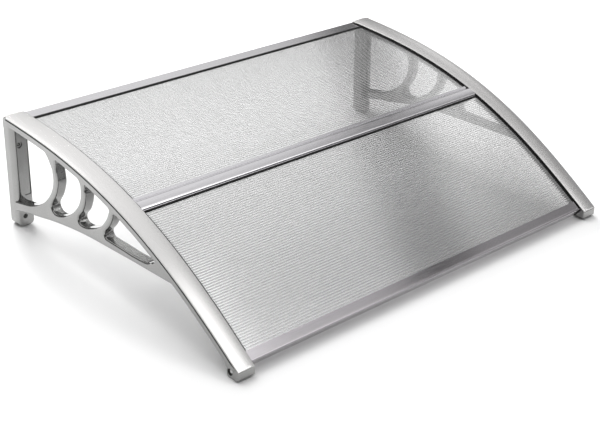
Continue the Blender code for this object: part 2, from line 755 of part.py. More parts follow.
def bracket(name, x_side):
    """One moulded bracket: leg, web with chord, flange, rear corner and tip."""
    body, foot = leg(x_side)
    body.name = name
    place(body, BRACKET_PAINT)
    combine(body, foot, "INTERSECT")
    combine(body, along_x(f"web_{name}", web_outlines(), x_side, WEB_INSET, WEB_WIDTH, WEB_RIM), "UNION")
    tip = along_x(f"tip_{name}", [tip_outline()], x_side, 0.0, COVER_FRONT_WIDTH, TIP_RIM)
    combine(body, tip, "UNION")
    inside = COVER_REAR_WIDTH + CUT_MARGIN
    combine(body, along_x(f"over_lip_{name}", [over_bracket()], x_side, -CUT_MARGIN, inside), "DIFFERENCE")
    combine(body, along_x(f"over_flange_{name}", [over_flange()], x_side, OUTER_LIP, inside), "DIFFERENCE")
    under = BRACKET_TOP + FLANGE_THICKNESS
    rear, front = REAR_WALL - JOIN_OVERLAP, TIP_WALL_START + 2 * JOIN_OVERLAP
    flange = band(rear, front, BRACKET_TOP + FLANGE_SINK, under, ROOF_STEPS)
    flange_tool = along_x(f"flange_{name}", [flange], x_side, WEB_WIDTH - FLANGE_OVERLAP, FLANGE_WIDTH)
    combine(body, widen(flange_tool), "UNION")
    combine(body, rear_cap(name, x_side), "UNION")
    port_y = roof(SCREW_PORT_AT, SCREW_PORT_DEPTH)[0]
    wedge = prism(
        f"tip_corner_{name}", [tip_corner(x_side)], ALONG_Y,
        port_y - TIP_FRONT - CUT_MARGIN, port_y + TIP_LENGTH + CUT_MARGIN,
    )
    combine(body, wedge, "DIFFERENCE")
    socket = along_x(
        f"socket_{name}", [on_roof(front_rail_outline())], x_side,
        COVER_FRONT_WIDTH - RAIL_INSERT - SEAT_GAP, COVER_FRONT_WIDTH + CUT_MARGIN, 0.0, SOCKET_CLEARANCE,
    )
    combine(body, socket, "DIFFERENCE")
    cut_leg(body, x_side)
    cut_screw_holes(body, x_side)
    return body


def cut_leg(body, x_side):
    """Pocket and two wall-screw holes in the leg."""
    inner = WIDTH / 2 - LEG_WIDTH
    low, high = sorted((x_side * (inner + POCKET_EDGE), x_side * (inner + POCKET_EDGE + POCKET_WIDTH)))
    bottom, top = ROOF_TOP - POCKET_BOTTOM, ROOF_TOP - POCKET_TOP
    corners = [(low, bottom, POCKET_FOOT_ROUND), (high, bottom, POCKET_FOOT_ROUND)]
    corners += [(high, top, POCKET_HEAD_ROUND), (low, top, POCKET_HEAD_ROUND)]
    pocket = rounded(corners, 4)
    tool = prism(f"pocket_{body.name}", [pocket], ALONG_Y, -LEG_DEPTH - CUT_MARGIN, -LEG_DEPTH + POCKET_DEPTH)
    combine(body, tool, "DIFFERENCE")
    x = x_side * (WIDTH / 2 - WALL_HOLE_OFFSET)
    turned = Matrix.Rotation(math.radians(90), 4, "X")
    upper = ("upper", UPPER_HOLE_BELOW, UPPER_RECESS_DIAMETER)
    lower = ("lower", LOWER_HOLE_BELOW, LOWER_RECESS_DIAMETER)
    for label, below, recess in (upper, lower):
        z = ROOF_TOP - below
        through = Matrix.Translation((x, -LEG_DEPTH / 2, z)) @ turned
        hole = cylinder(f"{label}_hole_{body.name}", WALL_HOLE_DIAMETER / 2, LEG_DEPTH * 1.5, through)
        combine(body, hole, "DIFFERENCE")
        sunk = Matrix.Translation((x, -LEG_DEPTH, z)) @ turned
        sink = cylinder(f"{label}_recess_{body.name}", recess / 2, 2 * RECESS_DEPTH, sunk, 20)
        combine(body, sink, "DIFFERENCE")


def cut_screw_holes(body, x_side):
    """Holes for the cover's screws and for the front rail's screw."""
    x = x_side * (WIDTH / 2 - SCREW_RAIL_OFFSET)
    for index, distance in enumerate(COVER_SCREW_PLACES):
        shank = cylinder(
            f"shank_hole_{index}_{body.name}", SCREW_DIAMETER / 2 + SCREW_CLEARANCE,
            2 * CHORD_UNDER, normal_frame(x, distance, CHORD_UNDER), 12,
        )
        combine(body, shank, "DIFFERENCE")
        head = cylinder(
            f"head_hole_{index}_{body.name}", SCREW_HEAD_DIAMETER / 2 + 2 * SCREW_CLEARANCE,
            2 * HEAD_RECESS, normal_frame(x, distance, CHORD_UNDER), 14,
        )
        combine(body, head, "DIFFERENCE")
    y, z = roof(SCREW_PORT_AT, SCREW_PORT_DEPTH)
    outer = x_side * WIDTH / 2
    turned = Matrix.Rotation(math.radians(90), 4, "Y")
    recess = cylinder(
        f"front_recess_{body.name}", FRONT_RECESS_DIAMETER / 2, 2 * FRONT_RECESS_DEPTH,
        Matrix.Translation((outer, y, z)) @ turned, 20,
    )
    combine(body, recess, "DIFFERENCE")
    hole = cylinder(
        f"front_hole_{body.name}", SCREW_DIAMETER / 2 + SCREW_CLEARANCE, 2 * COVER_FRONT_WIDTH,
        Matrix.Translation((outer, y, z)) @ turned, 12,
    )
    combine(body, hole, "DIFFERENCE")


# Cover strips
def cover_section(x_side):
    """Section of a cover: a crowned skin, two short edge flanges and a solid screw rail."""
    half = COVER_FRONT_WIDTH / 2
    rail_middle = x_side * (half - SCREW_RAIL_OFFSET)
    rail_bottom = -(BRACKET_TOP - SEAT_GAP)
    left, right = rail_middle - SCREW_RAIL_WIDTH / 2, rail_middle + SCREW_RAIL_WIDTH / 2
    crown = []
    reach = half - COVER_ROUND
    for index in range(7):
        share = -1 + 2 * index / 6
        crown.append((share * reach, COVER_CROWN * (1 - share * share)))
    section = [(-half, -COVER_EDGE), (-half, -COVER_ROUND), (-half + 0.3 * COVER_ROUND, -0.3 * COVER_ROUND)]
    section += crown
    section += [(half - 0.3 * COVER_ROUND, -0.3 * COVER_ROUND), (half, -COVER_ROUND), (half, -COVER_EDGE)]
    section += [(half - COVER_FLANGE, -COVER_EDGE), (half - COVER_FLANGE, -COVER_SKIN), (right, -COVER_SKIN)]
    section += [(right, rail_bottom), (left, rail_bottom), (left, -COVER_SKIN)]
    section += [(-half + COVER_FLANGE, -COVER_SKIN), (-half + COVER_FLANGE, -COVER_EDGE)]
    return section


def cover(name, x_side):
    """Cover strip, cut square to the wall, eased over the tip and drilled for its screws."""
    x = x_side * (WIDTH / 2 - COVER_FRONT_WIDTH / 2)
    body = widen(sweep(name, cover_section(x_side), x, COVER_START, COVER_END, ROOF_STEPS))
    place(body, COVER_PAINT)
    high, low = ROOF_TOP + CUT_MARGIN, ROOF_TOP - 4 * CUT_MARGIN
    past = COVER_REAR_WIDTH + CUT_MARGIN
    back = [(CUT_MARGIN, high), (-COVER_BACK, high), (-COVER_BACK, low), (CUT_MARGIN, low)]
    combine(body, along_x(f"back_{name}", [back], x_side, -CUT_MARGIN, past), "DIFFERENCE")
    corner = REAR_CAP_LENGTH + SEAT_GAP
    notch = [(CUT_MARGIN, high), (-corner, high), (-corner, low), (CUT_MARGIN, low)]
    combine(body, along_x(f"notch_{name}", [notch], x_side, -CUT_MARGIN, OUTER_LIP + SEAT_GAP), "DIFFERENCE")
    beyond = COVER_END + CUT_MARGIN
    wall, step = TIP_WALL_START - SEAT_GAP, COVER_EDGE + JOIN_OVERLAP
    ease = [
        roof(SEAM_TURN, COVER_EDGE), roof(beyond, cover_edge(beyond)), roof(beyond, CHORD_UNDER),
        roof(wall, CHORD_UNDER), roof(wall, step), roof(SEAM_TURN, step),
    ]
    combine(body, along_x(f"ease_{name}", [ease], x_side, -CUT_MARGIN, past), "DIFFERENCE")
    screw_x = x_side * (WIDTH / 2 - SCREW_RAIL_OFFSET)
    top = COVER_SCREW_TIP - SCREW_CLEARANCE
    bottom = BRACKET_TOP + CUT_MARGIN
    for index, distance in enumerate(COVER_SCREW_PLACES):
        hole = cylinder(
            f"thread_hole_{index}_{name}", SCREW_DIAMETER / 2 + SCREW_CLEARANCE, bottom - top,
            normal_frame(screw_x, distance, (bottom + top) / 2), 12,
        )
        combine(body, hole, "DIFFERENCE")
    return body


# Sheets
def sheet(name, start, end):
    """Twin-wall sheet: two skins and the webs between them, its cells open at both sides."""
    cells = max(2, round((end - start) / CELL_PITCH))
    pitch = (end - start) / cells
    top, bottom = SHEET_TOP, SHEET_TOP + SHEET_THICKNESS
    outlines = [band(start, end, top, bottom, cells)]
    for index in range(cells):
        low = start + index * pitch + SHEET_WEB / 2
        high = start + (index + 1) * pitch - SHEET_WEB / 2
        if index == 0:
            low = start + SHEET_WEB
        if index == cells - 1:
            high = end - SHEET_WEB
        outlines.append(band(low, high, top + SHEET_SKIN, bottom - SHEET_SKIN, 1))
    reach = WIDTH / 2 - SHEET_INSET
    return place(prism(name, outlines, ALONG_X, -reach, reach), CLEAR_SHEET)


# Rails
def rear_rail():
    """Wall rail: a back plate with a foot, and two lips that grip the rear sheet."""
    under = RAIL_UNDER
    stop = SHEET_START - SEAT_GAP
    top_back = ROOF_TOP - RAIL_TOP / math.cos(slope_at(0))
    bottom = ROOF_TOP - RAIL_TOP - REAR_RAIL_HEIGHT
    corners = [
        (0.0, bottom, 0), (0.0, top_back, RAIL_EDGE_ROUND),
        (*roof(REAR_LIP_LENGTH, RAIL_TOP), RAIL_EDGE_ROUND), (*roof(REAR_LIP_LENGTH, SHEET_TOP - SEAT_GAP), 0),
        (*roof(stop, SHEET_TOP - SEAT_GAP), 0), (*roof(stop, under), 0),
        (*roof(REAR_UNDER_LENGTH, under), 0), (*roof(REAR_UNDER_LENGTH, under + LIP_THICKNESS), 0),
        (-REAR_RAIL_WALL, roof(stop, under + LIP_THICKNESS)[1], REAR_FILLET),
        (-REAR_RAIL_WALL, bottom + REAR_RAIL_WALL, REAR_FILLET),
        (-REAR_FOOT, bottom + REAR_RAIL_WALL, 0), (-REAR_FOOT, bottom, 0),
    ]
    reach = WIDTH / 2 - COVER_REAR_WIDTH - SEAT_GAP
    return place(prism("rail_rear", [rounded(corners, 2)], ALONG_X, -reach, reach), ALUMINIUM)


def middle_rail_base():
    """Joining rail between the sheets: upper flange with a ridge, web and lower flange."""
    web_low, web_high = MIDDLE_AT - MIDDLE_WEB / 2, MIDDLE_AT + MIDDLE_WEB / 2
    back, front = MIDDLE_AT - MIDDLE_REAR_LIP, MIDDLE_AT + MIDDLE_FRONT_LIP
    inner = SHEET_TOP - SEAT_GAP
    under = RAIL_UNDER + LIP_THICKNESS
    ridge_top = RAIL_TOP - MIDDLE_RIDGE_RISE
    outline = [
        (back, inner), (back, RAIL_TOP - MIDDLE_EDGE_DROP), (back + MIDDLE_RIDGE_SLOPE, ridge_top),
        (back + MIDDLE_RIDGE - MIDDLE_RIDGE_SLOPE, ridge_top), (back + MIDDLE_RIDGE, RAIL_TOP),
        (MIDDLE_AT, RAIL_TOP),
        (front, RAIL_TOP), (front, inner), (web_high, inner), (web_high, RAIL_UNDER),
        (MIDDLE_AT + MIDDLE_UNDER_HALF, RAIL_UNDER), (MIDDLE_AT + MIDDLE_UNDER_HALF, under),
        (MIDDLE_AT - MIDDLE_UNDER_HALF, under), (MIDDLE_AT - MIDDLE_UNDER_HALF, RAIL_UNDER),
        (web_low, RAIL_UNDER), (web_low, inner),
    ]
    reach = WIDTH / 2 - cover_width(MIDDLE_AT) + RAIL_INSERT
    return place(prism("rail_middle_base", [on_roof(outline)], ALONG_X, -reach, reach), ALUMINIUM)


def middle_rail_cap():
    """Half-round cap that snaps over the joining rail's upper flange."""
    back, front = MIDDLE_AT - CAP_REAR, MIDDLE_AT + CAP_FRONT
    foot = RAIL_TOP - SEAT_GAP
    middle = (back + front) / 2
    half = (front - back) / 2
    outline = []
    for wall, turn in ((0.0, -1), (CAP_WALL, 1)):
        for index in range(CAP_STEPS + 1)[::turn]:
            angle = math.pi * index / CAP_STEPS
            arch = math.sin(angle) ** CAP_FULLNESS
            outline.append((middle + (half - wall) * math.cos(angle), foot - (foot - wall) * arch))
    reach = WIDTH / 2 - cover_width(back) - SEAT_GAP
    return place(prism("rail_middle_cap", [on_roof(outline)], ALONG_X, -reach, reach), ALUMINIUM)


def front_rail():
    """Front rail: a flat lip over the sheet, a round hollow nose and a screw port."""
    port = arc((SCREW_PORT_AT, SCREW_PORT_DEPTH), SCREW_DIAMETER / 2 + SCREW_CLEARANCE, 0, 330, 11)
    outlines = [on_roof(outline) for outline in (front_rail_outline(), *front_rail_chambers(), port)]
    reach = WIDTH / 2 - COVER_FRONT_WIDTH + RAIL_INSERT
    return place(prism("rail_front", outlines, ALONG_X, -reach, reach), ALUMINIUM)


# Rubber
def gasket(name, start, width):
    """Black strip that closes a rail's front edge against the sheet."""
    top = SHEET_TOP - SEAT_GAP - GASKET_RISE
    low, high = start + SEAT_GAP, start + width
    outline = [
        (low, SHEET_TOP - SEAT_GAP), (low, top + GASKET_EDGE), (low + GASKET_BEVEL, top),
        (low + 0.45 * width, top), (high - GASKET_EDGE, SHEET_TOP - GASKET_BEVEL),
        (high, SHEET_TOP - SEAT_GAP),
    ]
    reach = WIDTH / 2 - cover_width(start) - SEAT_GAP
    return place(prism(name, [on_roof(outline)], ALONG_X, -reach, reach), BLACK_RUBBER)


def side_seal(name, x_side, start, end):
    """U-shaped strip along a sheet's side edge, clamped between cover and bracket."""
    top = -(COVER_EDGE + SEAT_GAP)
    over, under = -(SHEET_TOP - SEAT_GAP), -RAIL_UNDER
    bottom = under - SEAL_LEG
    outer = -(SHEET_INSET - SEAT_GAP - SEAL_LEG)
    slot = -(SHEET_INSET - SEAT_GAP)
    pressed = -(COVER_FRONT_WIDTH - SEAL_PRESS_WIDTH)
    inner = -COVER_FRONT_WIDTH
    lip = inner - SEAL_LIP_WIDTH
    section = [
        (outer, bottom), (outer, over + SEAL_LEG), (pressed, over + SEAL_LEG), (pressed, top),
        (inner, top), (inner, over + SEAL_LEG), (lip, over + 0.5 * SEAL_LEG), (lip, over),
        (slot, over), (slot, under), (inner, under), (inner, bottom),
    ]
    section = [(x_side * a, b) for a, b in section]
    strip = sweep(name, section, x_side * WIDTH / 2, start, end, HALF_ROOF_STEPS)
    return place(widen(strip), BLACK_RUBBER)


def edge_strip(name, x_side):
    """Black strip in the seam between the cover's outer edge and the bracket's lip."""
    start, end = REAR_CAP_LENGTH + EDGE_STRIP_END, SEAM_TURN - EDGE_STRIP_END
    strip = band(start, end, COVER_EDGE + SEAT_GAP, LIP_TOP - SEAT_GAP, ROOF_STEPS)
    piece = along_x(name, [strip], x_side, EDGE_STRIP_INSET, EDGE_STRIP_INSET + EDGE_STRIP_WIDTH)
    return place(piece, BLACK_RUBBER)


# Screws
def cover_screws(label, x_side):
    """Row of screws from below, through the top chord into the cover."""
    x = x_side * (WIDTH / 2 - SCREW_RAIL_OFFSET)
    seat = CHORD_UNDER - HEAD_RECESS + SEAT_GAP
    for index, distance in enumerate(COVER_SCREW_PLACES):
        frame = normal_frame(x, distance, seat)
        screw(f"cover_screw_{label}_{index + 1}", frame, SCREW_HEAD_DIAMETER, seat - COVER_SCREW_TIP)


def front_screw(name, x_side):
    """Screw through the tip into the front rail's port."""
    y, z = roof(SCREW_PORT_AT, SCREW_PORT_DEPTH)
    seat = x_side * (WIDTH / 2 - FRONT_RECESS_DEPTH + SEAT_GAP)
    inwards = Matrix.Rotation(math.radians(-90 * x_side), 4, "Y")
    frame = Matrix.Translation((seat, y, z)) @ inwards
    return screw(name, frame, FRONT_HEAD_DIAMETER, FRONT_SCREW_LENGTH)


# Assembly
def build():
    """Make every piece of the canopy."""
    rear_seal = (REAR_LIP_LENGTH + GASKET_WIDTH + SEAT_GAP, MIDDLE_AT - MIDDLE_REAR_LIP - SEAT_GAP)
    front_start = MIDDLE_AT + MIDDLE_FRONT_LIP + MIDDLE_GASKET_WIDTH + SEAT_GAP
    front_seal = (front_start, FRONT_LIP_START - SEAT_GAP)
    for label, x_side in (("left", -1), ("right", 1)):
        bracket(f"bracket_{label}", x_side)
        cover(f"cover_{label}", x_side)
        edge_strip(f"edge_strip_{label}", x_side)
        cover_screws(label, x_side)
        front_screw(f"front_screw_{label}", x_side)
        side_seal(f"side_seal_{label}_rear", x_side, *rear_seal)
        side_seal(f"side_seal_{label}_front", x_side, *front_seal)
    rear_rail()
    middle_rail_base()
    middle_rail_cap()
    front_rail()
    web_gap = MIDDLE_WEB / 2 + SEAT_GAP
    sheet("sheet_rear", SHEET_START, MIDDLE_AT - web_gap)
    sheet("sheet_front", MIDDLE_AT + web_gap, FRONT_BACK + FRONT_WALL - SEAT_GAP)
    gasket("gasket_rear", REAR_LIP_LENGTH, GASKET_WIDTH)
    gasket("gasket_middle", MIDDLE_AT + MIDDLE_FRONT_LIP, MIDDLE_GASKET_WIDTH)


build()
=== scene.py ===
import json
import math

import bmesh
import bpy
from mathutils import Matrix, Vector


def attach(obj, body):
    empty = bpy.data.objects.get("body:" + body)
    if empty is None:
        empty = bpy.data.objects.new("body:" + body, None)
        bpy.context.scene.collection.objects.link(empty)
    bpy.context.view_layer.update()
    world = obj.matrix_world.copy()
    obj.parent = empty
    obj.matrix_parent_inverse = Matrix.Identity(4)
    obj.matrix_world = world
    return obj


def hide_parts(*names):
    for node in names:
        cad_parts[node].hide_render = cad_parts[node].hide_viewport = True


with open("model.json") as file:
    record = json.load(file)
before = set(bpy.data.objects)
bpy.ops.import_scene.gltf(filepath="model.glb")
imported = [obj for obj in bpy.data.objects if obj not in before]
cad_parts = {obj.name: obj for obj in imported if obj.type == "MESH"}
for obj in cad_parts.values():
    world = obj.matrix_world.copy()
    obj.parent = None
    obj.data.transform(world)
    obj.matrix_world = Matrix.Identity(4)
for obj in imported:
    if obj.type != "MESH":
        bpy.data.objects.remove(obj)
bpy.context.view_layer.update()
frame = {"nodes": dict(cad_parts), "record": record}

NODES = frame["nodes"]
MM = 0.001

# Sizes as in the part's source, but for a thinner cover edge, a higher seam, a rounder web and
# finer steps on the curves
WIDTH = 1200 * MM
ARC_LENGTH = 900 * MM
REAR_SLOPE = 5.1
FRONT_SLOPE = 36.8
BOW_EASE = 0.79
CURVE_STEP = 1 * MM
CURVE_OVERRUN = 40 * MM
SEARCH_ROUNDS = 40
ROOF_STEPS = 150
HALF_ROOF_STEPS = 90
CUT_MARGIN = 5 * MM
JOIN_OVERLAP = 1 * MM
WELD_DISTANCE = 0.01 * MM
SHARP_ANGLE = math.radians(32)
SEAT_GAP = 0.3 * MM
COVER_EDGE = 2.1 * MM
SEAM_HEIGHT = 4.5 * MM
SEAL_LEG = 1.2 * MM
LIP_THICKNESS = 1.2 * MM
SHEET_TOP = 6.3 * MM
SHEET_THICKNESS = 5 * MM
RAIL_TOP = SHEET_TOP - SEAT_GAP - LIP_THICKNESS
RAIL_UNDER = SHEET_TOP + SHEET_THICKNESS + SEAT_GAP
BRACKET_TOP = RAIL_UNDER + SEAL_LEG + SEAT_GAP
CELL_PITCH = 6.2 * MM
SHEET_SKIN = 0.6 * MM
SHEET_WEB = 0.5 * MM
SHEET_INSET = 24.5 * MM
COVER_REAR_WIDTH = 57 * MM
COVER_FRONT_WIDTH = 45 * MM
TAPER_FROM = 25 * MM
COVER_CROWN = 1.1 * MM
COVER_SKIN = 1.8 * MM
COVER_FLANGE = 1.8 * MM
COVER_ROUND = 1.4 * MM
COVER_BACK = 3.8 * MM
COVER_START = 1 * MM
COVER_END = ARC_LENGTH + 4 * MM
SCREW_RAIL_OFFSET = 15 * MM
SCREW_RAIL_WIDTH = 12 * MM
WEB_WIDTH = 29 * MM
WEB_INSET = 0.1 * MM
WEB_RIM = 5.2 * MM
CHORD_UNDER = 22 * MM
FLANGE_WIDTH = COVER_FRONT_WIDTH - 3 * MM
FLANGE_THICKNESS = 3 * MM
FLANGE_SINK = 0.1 * MM
FLANGE_OVERLAP = 6 * MM
CHORD_REAR = 8 * MM
OUTER_LIP = 3 * MM
LIP_TOP = COVER_EDGE + SEAM_HEIGHT
LEG_WIDTH = 44 * MM
LEG_DEPTH = 33 * MM
LEG_HEIGHT = 274 * MM
LEG_CORNER = 14 * MM
LEG_INNER_ROUND = 3 * MM
LEG_REAR_ROUND = 1.5 * MM
LEG_FOOT_ROUND = 17 * MM
LEG_TOP_SINK = 2 * MM
REAR_CAP_LENGTH = 12 * MM
REAR_CAP_ROUND = 9 * MM
REAR_CAP_HEIGHT = 26 * MM
REAR_CAP_SINK = 0.6 * MM
REAR_WALL = 3.5 * MM
REAR_CHEEK = 2.7 * MM
WALL_HOLE_DIAMETER = 9 * MM
WALL_HOLE_OFFSET = 20 * MM
UPPER_HOLE_BELOW = 68 * MM
LOWER_HOLE_BELOW = LEG_HEIGHT - 25 * MM
WALL_HOLE_REACH = 1.5 * LEG_DEPTH
UPPER_RECESS_DIAMETER = 16 * MM
LOWER_RECESS_DIAMETER = 12.5 * MM
RECESS_DEPTH = 5 * MM
POCKET_WIDTH = 19 * MM
POCKET_TOP = 48 * MM
POCKET_BOTTOM = LEG_HEIGHT - 77 * MM
POCKET_FOOT_ROUND = 3 * MM
POCKET_HEAD_ROUND = 8 * MM
POCKET_DEPTH = 2.5 * MM
POCKET_EDGE = 2.5 * MM
LOWER_EDGE = [
    (0.0089, 0.865), (0.0367, 0.8431), (0.0833, 0.8139), (0.1344, 0.792), (0.19, 0.7628),
    (0.2467, 0.7409), (0.3167, 0.7226), (0.3889, 0.7172), (0.5333, 0.7208),
]
# The web's four openings, from the wall on, as shares of the arc and of the web's height there
OPENINGS = [[
    (0.01, 0.8677), (0.0367, 0.8809), (0.0667, 0.8821), (0.1078, 0.8665), (0.15, 0.7992),
    (0.1822, 0.6801), (0.2044, 0.5261), (0.215, 0.3569), (0.2133, 0.1901),
], [
    (0.2333, 0.1891), (0.2356, 0.3483), (0.2289, 0.4851), (0.2189, 0.5995), (0.2056, 0.6974),
    (0.2, 0.7634), (0.2067, 0.8327), (0.2211, 0.8635), (0.2467, 0.8488), (0.2744, 0.7796),
    (0.3011, 0.6516), (0.3233, 0.4712), (0.3344, 0.2763), (0.3344, 0.0908),
], [
    (0.3544, 0.1531), (0.3533, 0.2673), (0.3478, 0.4097), (0.3378, 0.5599), (0.3233, 0.6756),
    (0.3178, 0.7529), (0.3233, 0.8156), (0.3367, 0.8323), (0.3556, 0.8169), (0.38, 0.7509),
    (0.4067, 0.6348), (0.4244, 0.492), (0.44, 0.2878), (0.4489, 0.0979),
], [
    (0.4656, 0.0773), (0.4611, 0.2202), (0.4511, 0.4013), (0.4411, 0.5306), (0.43, 0.6434),
    (0.4278, 0.7228), (0.4333, 0.7866), (0.4444, 0.7988), (0.5, 0.779), (0.5444, 0.7539),
]]
OPENING_TOPS = [(0.01, 0.1944), (0.2256, 0.3311), (0.3478, 0.4544)]
# The last one ends where the web does: its nose and top are measured back from there
LAST_NOSE = [(0.0933, 0.5984), (0.0733, 0.2887)]
LAST_TOP = 0.4711
LAST_TIP = 0.0578
RUN_OUT_DROP = 3 * MM
SHEET_START = 5.4 * MM
REAR_RAIL_HEIGHT = 20 * MM
REAR_LIP_LENGTH = 34.5 * MM
MIDDLE_AT = 0.5067 * ARC_LENGTH
MIDDLE_REAR_LIP = 24 * MM
MIDDLE_FRONT_LIP = 18 * MM
MIDDLE_WEB = 1.6 * MM
FRONT_FACE = ARC_LENGTH - 7.7 * MM
FRONT_BOTTOM = 31 * MM
FRONT_LIP_START = FRONT_FACE - 26.3 * MM
FRONT_UNDER_START = FRONT_FACE - 21.3 * MM
FRONT_BACK = FRONT_FACE - 8.3 * MM
FRONT_WALL = 1.5 * MM
FRONT_GROOVE = 1.6 * MM
FRONT_GROOVE_HEIGHT = 2 * MM
FRONT_SHOULDER = 1.2 * MM
FRONT_ROUND = 2.2 * MM
FRONT_FOOT_INSET = 3.6 * MM
FRONT_FOOT_RISE = 6.5 * MM
BEAD_RADIUS = 3 * MM
BEAD_RISE = 0.9 * MM
SCREW_PORT_AT = FRONT_FACE - 3.7 * MM
SCREW_PORT_DEPTH = 22.2 * MM
RAIL_INSERT = 10 * MM
SOCKET_CLEARANCE = 1.1 * MM
GASKET_WIDTH = 9 * MM
MIDDLE_GASKET_WIDTH = 6.5 * MM
SEAL_PRESS_WIDTH = 6 * MM
SEAL_LIP_WIDTH = 5 * MM
TIP_REAR = 11.5 * MM
TIP_BOTTOM = 14.8 * MM
TIP_FRONT = 25.5 * MM
TIP_LENGTH = 34.3 * MM
TIP_START = FRONT_FACE - TIP_LENGTH
TIP_WALL_START = FRONT_FACE + 1.7 * MM
TIP_SINK = 3 * MM
TIP_SHOULDER = 4 * MM
TIP_SHOULDER_ROUND = 5 * MM
TIP_ROUND = 11 * MM
TIP_FRONT_ROUND = 7.5 * MM
TIP_INNER_ROUND = 8 * MM
TIP_RIM = 2 * MM
SEAM_TURN = FRONT_FACE - 14.3 * MM
COVER_EDGE_END = 1.4 * MM
SEAM_END = 0.4 * MM
SEAM_STRIP_INSET = 0.2 * MM
SEAM_STRIP_WIDTH = 2.4 * MM
SEAM_STRIP_END = 1.5 * MM
SCREW_DIAMETER = 4.2 * MM
SCREW_HEAD_DIAMETER = 8.4 * MM
SCREW_CLEARANCE = 0.3 * MM
HEAD_RECESS = 4 * MM
COVER_SCREW_PLACES = [share * ARC_LENGTH for share in (0.1167, 0.2733, 0.3911, 0.5089, 0.8111)]
FRONT_RECESS_DIAMETER = 16 * MM
FRONT_RECESS_DEPTH = 6 * MM
ROOF_TOP = RAIL_TOP + REAR_RAIL_HEIGHT / 2

# Steps of the curves, and the reach of rounded corners
LINE_STEPS = 6
CORNER_STEPS = 8
CORNER_REACH = 7 * MM
CORNER_SHARE = 0.49
NEARLY_STRAIGHT = math.radians(89)
SHORT_OF_END = 1.001
TOP_STEPS = 30
RIM_STEPS = 6
ROUND_STEPS = 12
WIDE_ROUND_STEPS = 16
POCKET_STEPS = 10
TIP_CORNER_STEPS = 18
BEYOND_STEPS = 8
CROWN_STEPS = 24
COVER_ROUND_STEPS = 5
COVER_ROUND_TOP = 80
ROUND_SEGMENTS = 40

# Front rail's bead: its arc in degrees, and where the lip and the groove meet it, as shares of
# its radius
BEAD_ARC = (-140, 35)
BEAD_STEPS = 8
LIP_MEETS_BEAD = 0.95
GROOVE_MEETS_BEAD = 0.75
FRONT_FOOT_STEPS = 4

# The dressed sheets bulge a little between their webs, and have joint lines beside them
RIPPLE = 0.19 * MM
CELL_STEPS = 10
JOINT_STEPS = 2
SHEET_WELD_DISTANCE = 0.001 * MM
FACE_SLOT, INNER_SLOT, WEB_SLOT, JOINT_SLOT = range(4)

# Ends of the covers, and the side seals' lower legs with their teeth
COVER_NOSE = 2.6 * MM
SEAL_UNDER_WIDTH = 4 * MM
TOOTH_LENGTH = 6 * MM
TOOTH_WIDTH = 3.2 * MM
TOOTH_TIP_WIDTH = 2 * TOOTH_WIDTH / 5
TOOTH_HEIGHT = 0.8 * MM

WORK = bpy.data.collections.new("work")
bpy.context.scene.collection.children.link(WORK)


def add(name, data, collection=WORK):
    """New object in a collection."""
    result = bpy.data.objects.new(name, data)
    collection.objects.link(result)
    return result


def slope_at(distance):
    """Slope below level, in radians, at a distance along the roof curve from the wall."""
    share = min(max(distance / ARC_LENGTH, 0.0), 1.0)
    eased = (1 - BOW_EASE) * share + BOW_EASE * share * share * (3 - 2 * share)
    return math.radians(REAR_SLOPE + (FRONT_SLOPE - REAR_SLOPE) * eased)


def trace_roof():
    """Points of the roof curve, one for each step of length, from in front of the wall on."""
    steps = math.ceil((ARC_LENGTH + CURVE_OVERRUN) / CURVE_STEP)
    points = [(0.0, ROOF_TOP)]
    for index in range(steps):
        angle = slope_at((index + 0.5) * CURVE_STEP)
        y, z = points[-1]
        points.append((y - math.cos(angle) * CURVE_STEP, z - math.sin(angle) * CURVE_STEP))
    return points


ROOF = trace_roof()


def roof(distance, depth):
    """Point (y, z) at a distance along the roof curve and a depth square below it."""
    place = min(max(distance, 0.0) / CURVE_STEP, len(ROOF) - SHORT_OF_END)
    index = int(place)
    share = place - index
    start, end = ROOF[index], ROOF[index + 1]
    angle = slope_at(distance)
    extra = min(distance, 0.0)
    y = start[0] + (end[0] - start[0]) * share - math.cos(angle) * extra + math.sin(angle) * depth
    z = start[1] + (end[1] - start[1]) * share - math.sin(angle) * extra - math.cos(angle) * depth
    return y, z


def roof_run(start, end, depth, count):
    """Evenly spaced points along the roof curve at one depth."""
    return [roof(start + (end - start) * index / count, depth) for index in range(count + 1)]


def search(short):
    """Farthest distance along the roof curve that a test still finds short."""
    low, high = 0.0, ARC_LENGTH
    for _ in range(SEARCH_ROUNDS):
        middle = (low + high) / 2
        low, high = (middle, high) if short(middle) else (low, middle)
    return low


def distance_at(forward, depth):
    """Distance along the roof curve at which the given depth lies this far from the wall."""
    return search(lambda place: -roof(place, depth)[0] < forward)


def lower_edge():
    """Lower edge of the web as (distance from the wall, z), up to where it meets the chord."""
    line = [(forward * ARC_LENGTH, ROOF_TOP - below * LEG_HEIGHT) for forward, below in LOWER_EDGE]
    below = ROOF_TOP - line[-1][1] + RUN_OUT_DROP
    run_out = search(lambda place: ROOF_TOP - roof(place, CHORD_UNDER)[1] < below)
    y, z = roof(run_out, CHORD_UNDER)
    return [*line, (-y, z)]


def height_at(line, forward):
    """Height of a line of points at a distance from the wall."""
    for (start, first), (end, last) in zip(line, line[1:]):
        if forward <= end:
            break
    return first + (last - first) * (forward - start) / (end - start)


def between_edges(points):
    """Side-view points (y, z) placed between the chord's underside and the lower edge."""
    line = lower_edge()
    placed = []
    for share, height in points:
        forward = share * ARC_LENGTH
        top = roof(distance_at(forward, CHORD_UNDER), CHORD_UNDER)[1]
        placed.append((-forward, top + (height_at(line, forward) - top) * height))
    return placed


def cover_width(distance):
    """Width of the covers, which taper towards the front."""
    return COVER_REAR_WIDTH + (COVER_FRONT_WIDTH - COVER_REAR_WIDTH) * distance / COVER_END


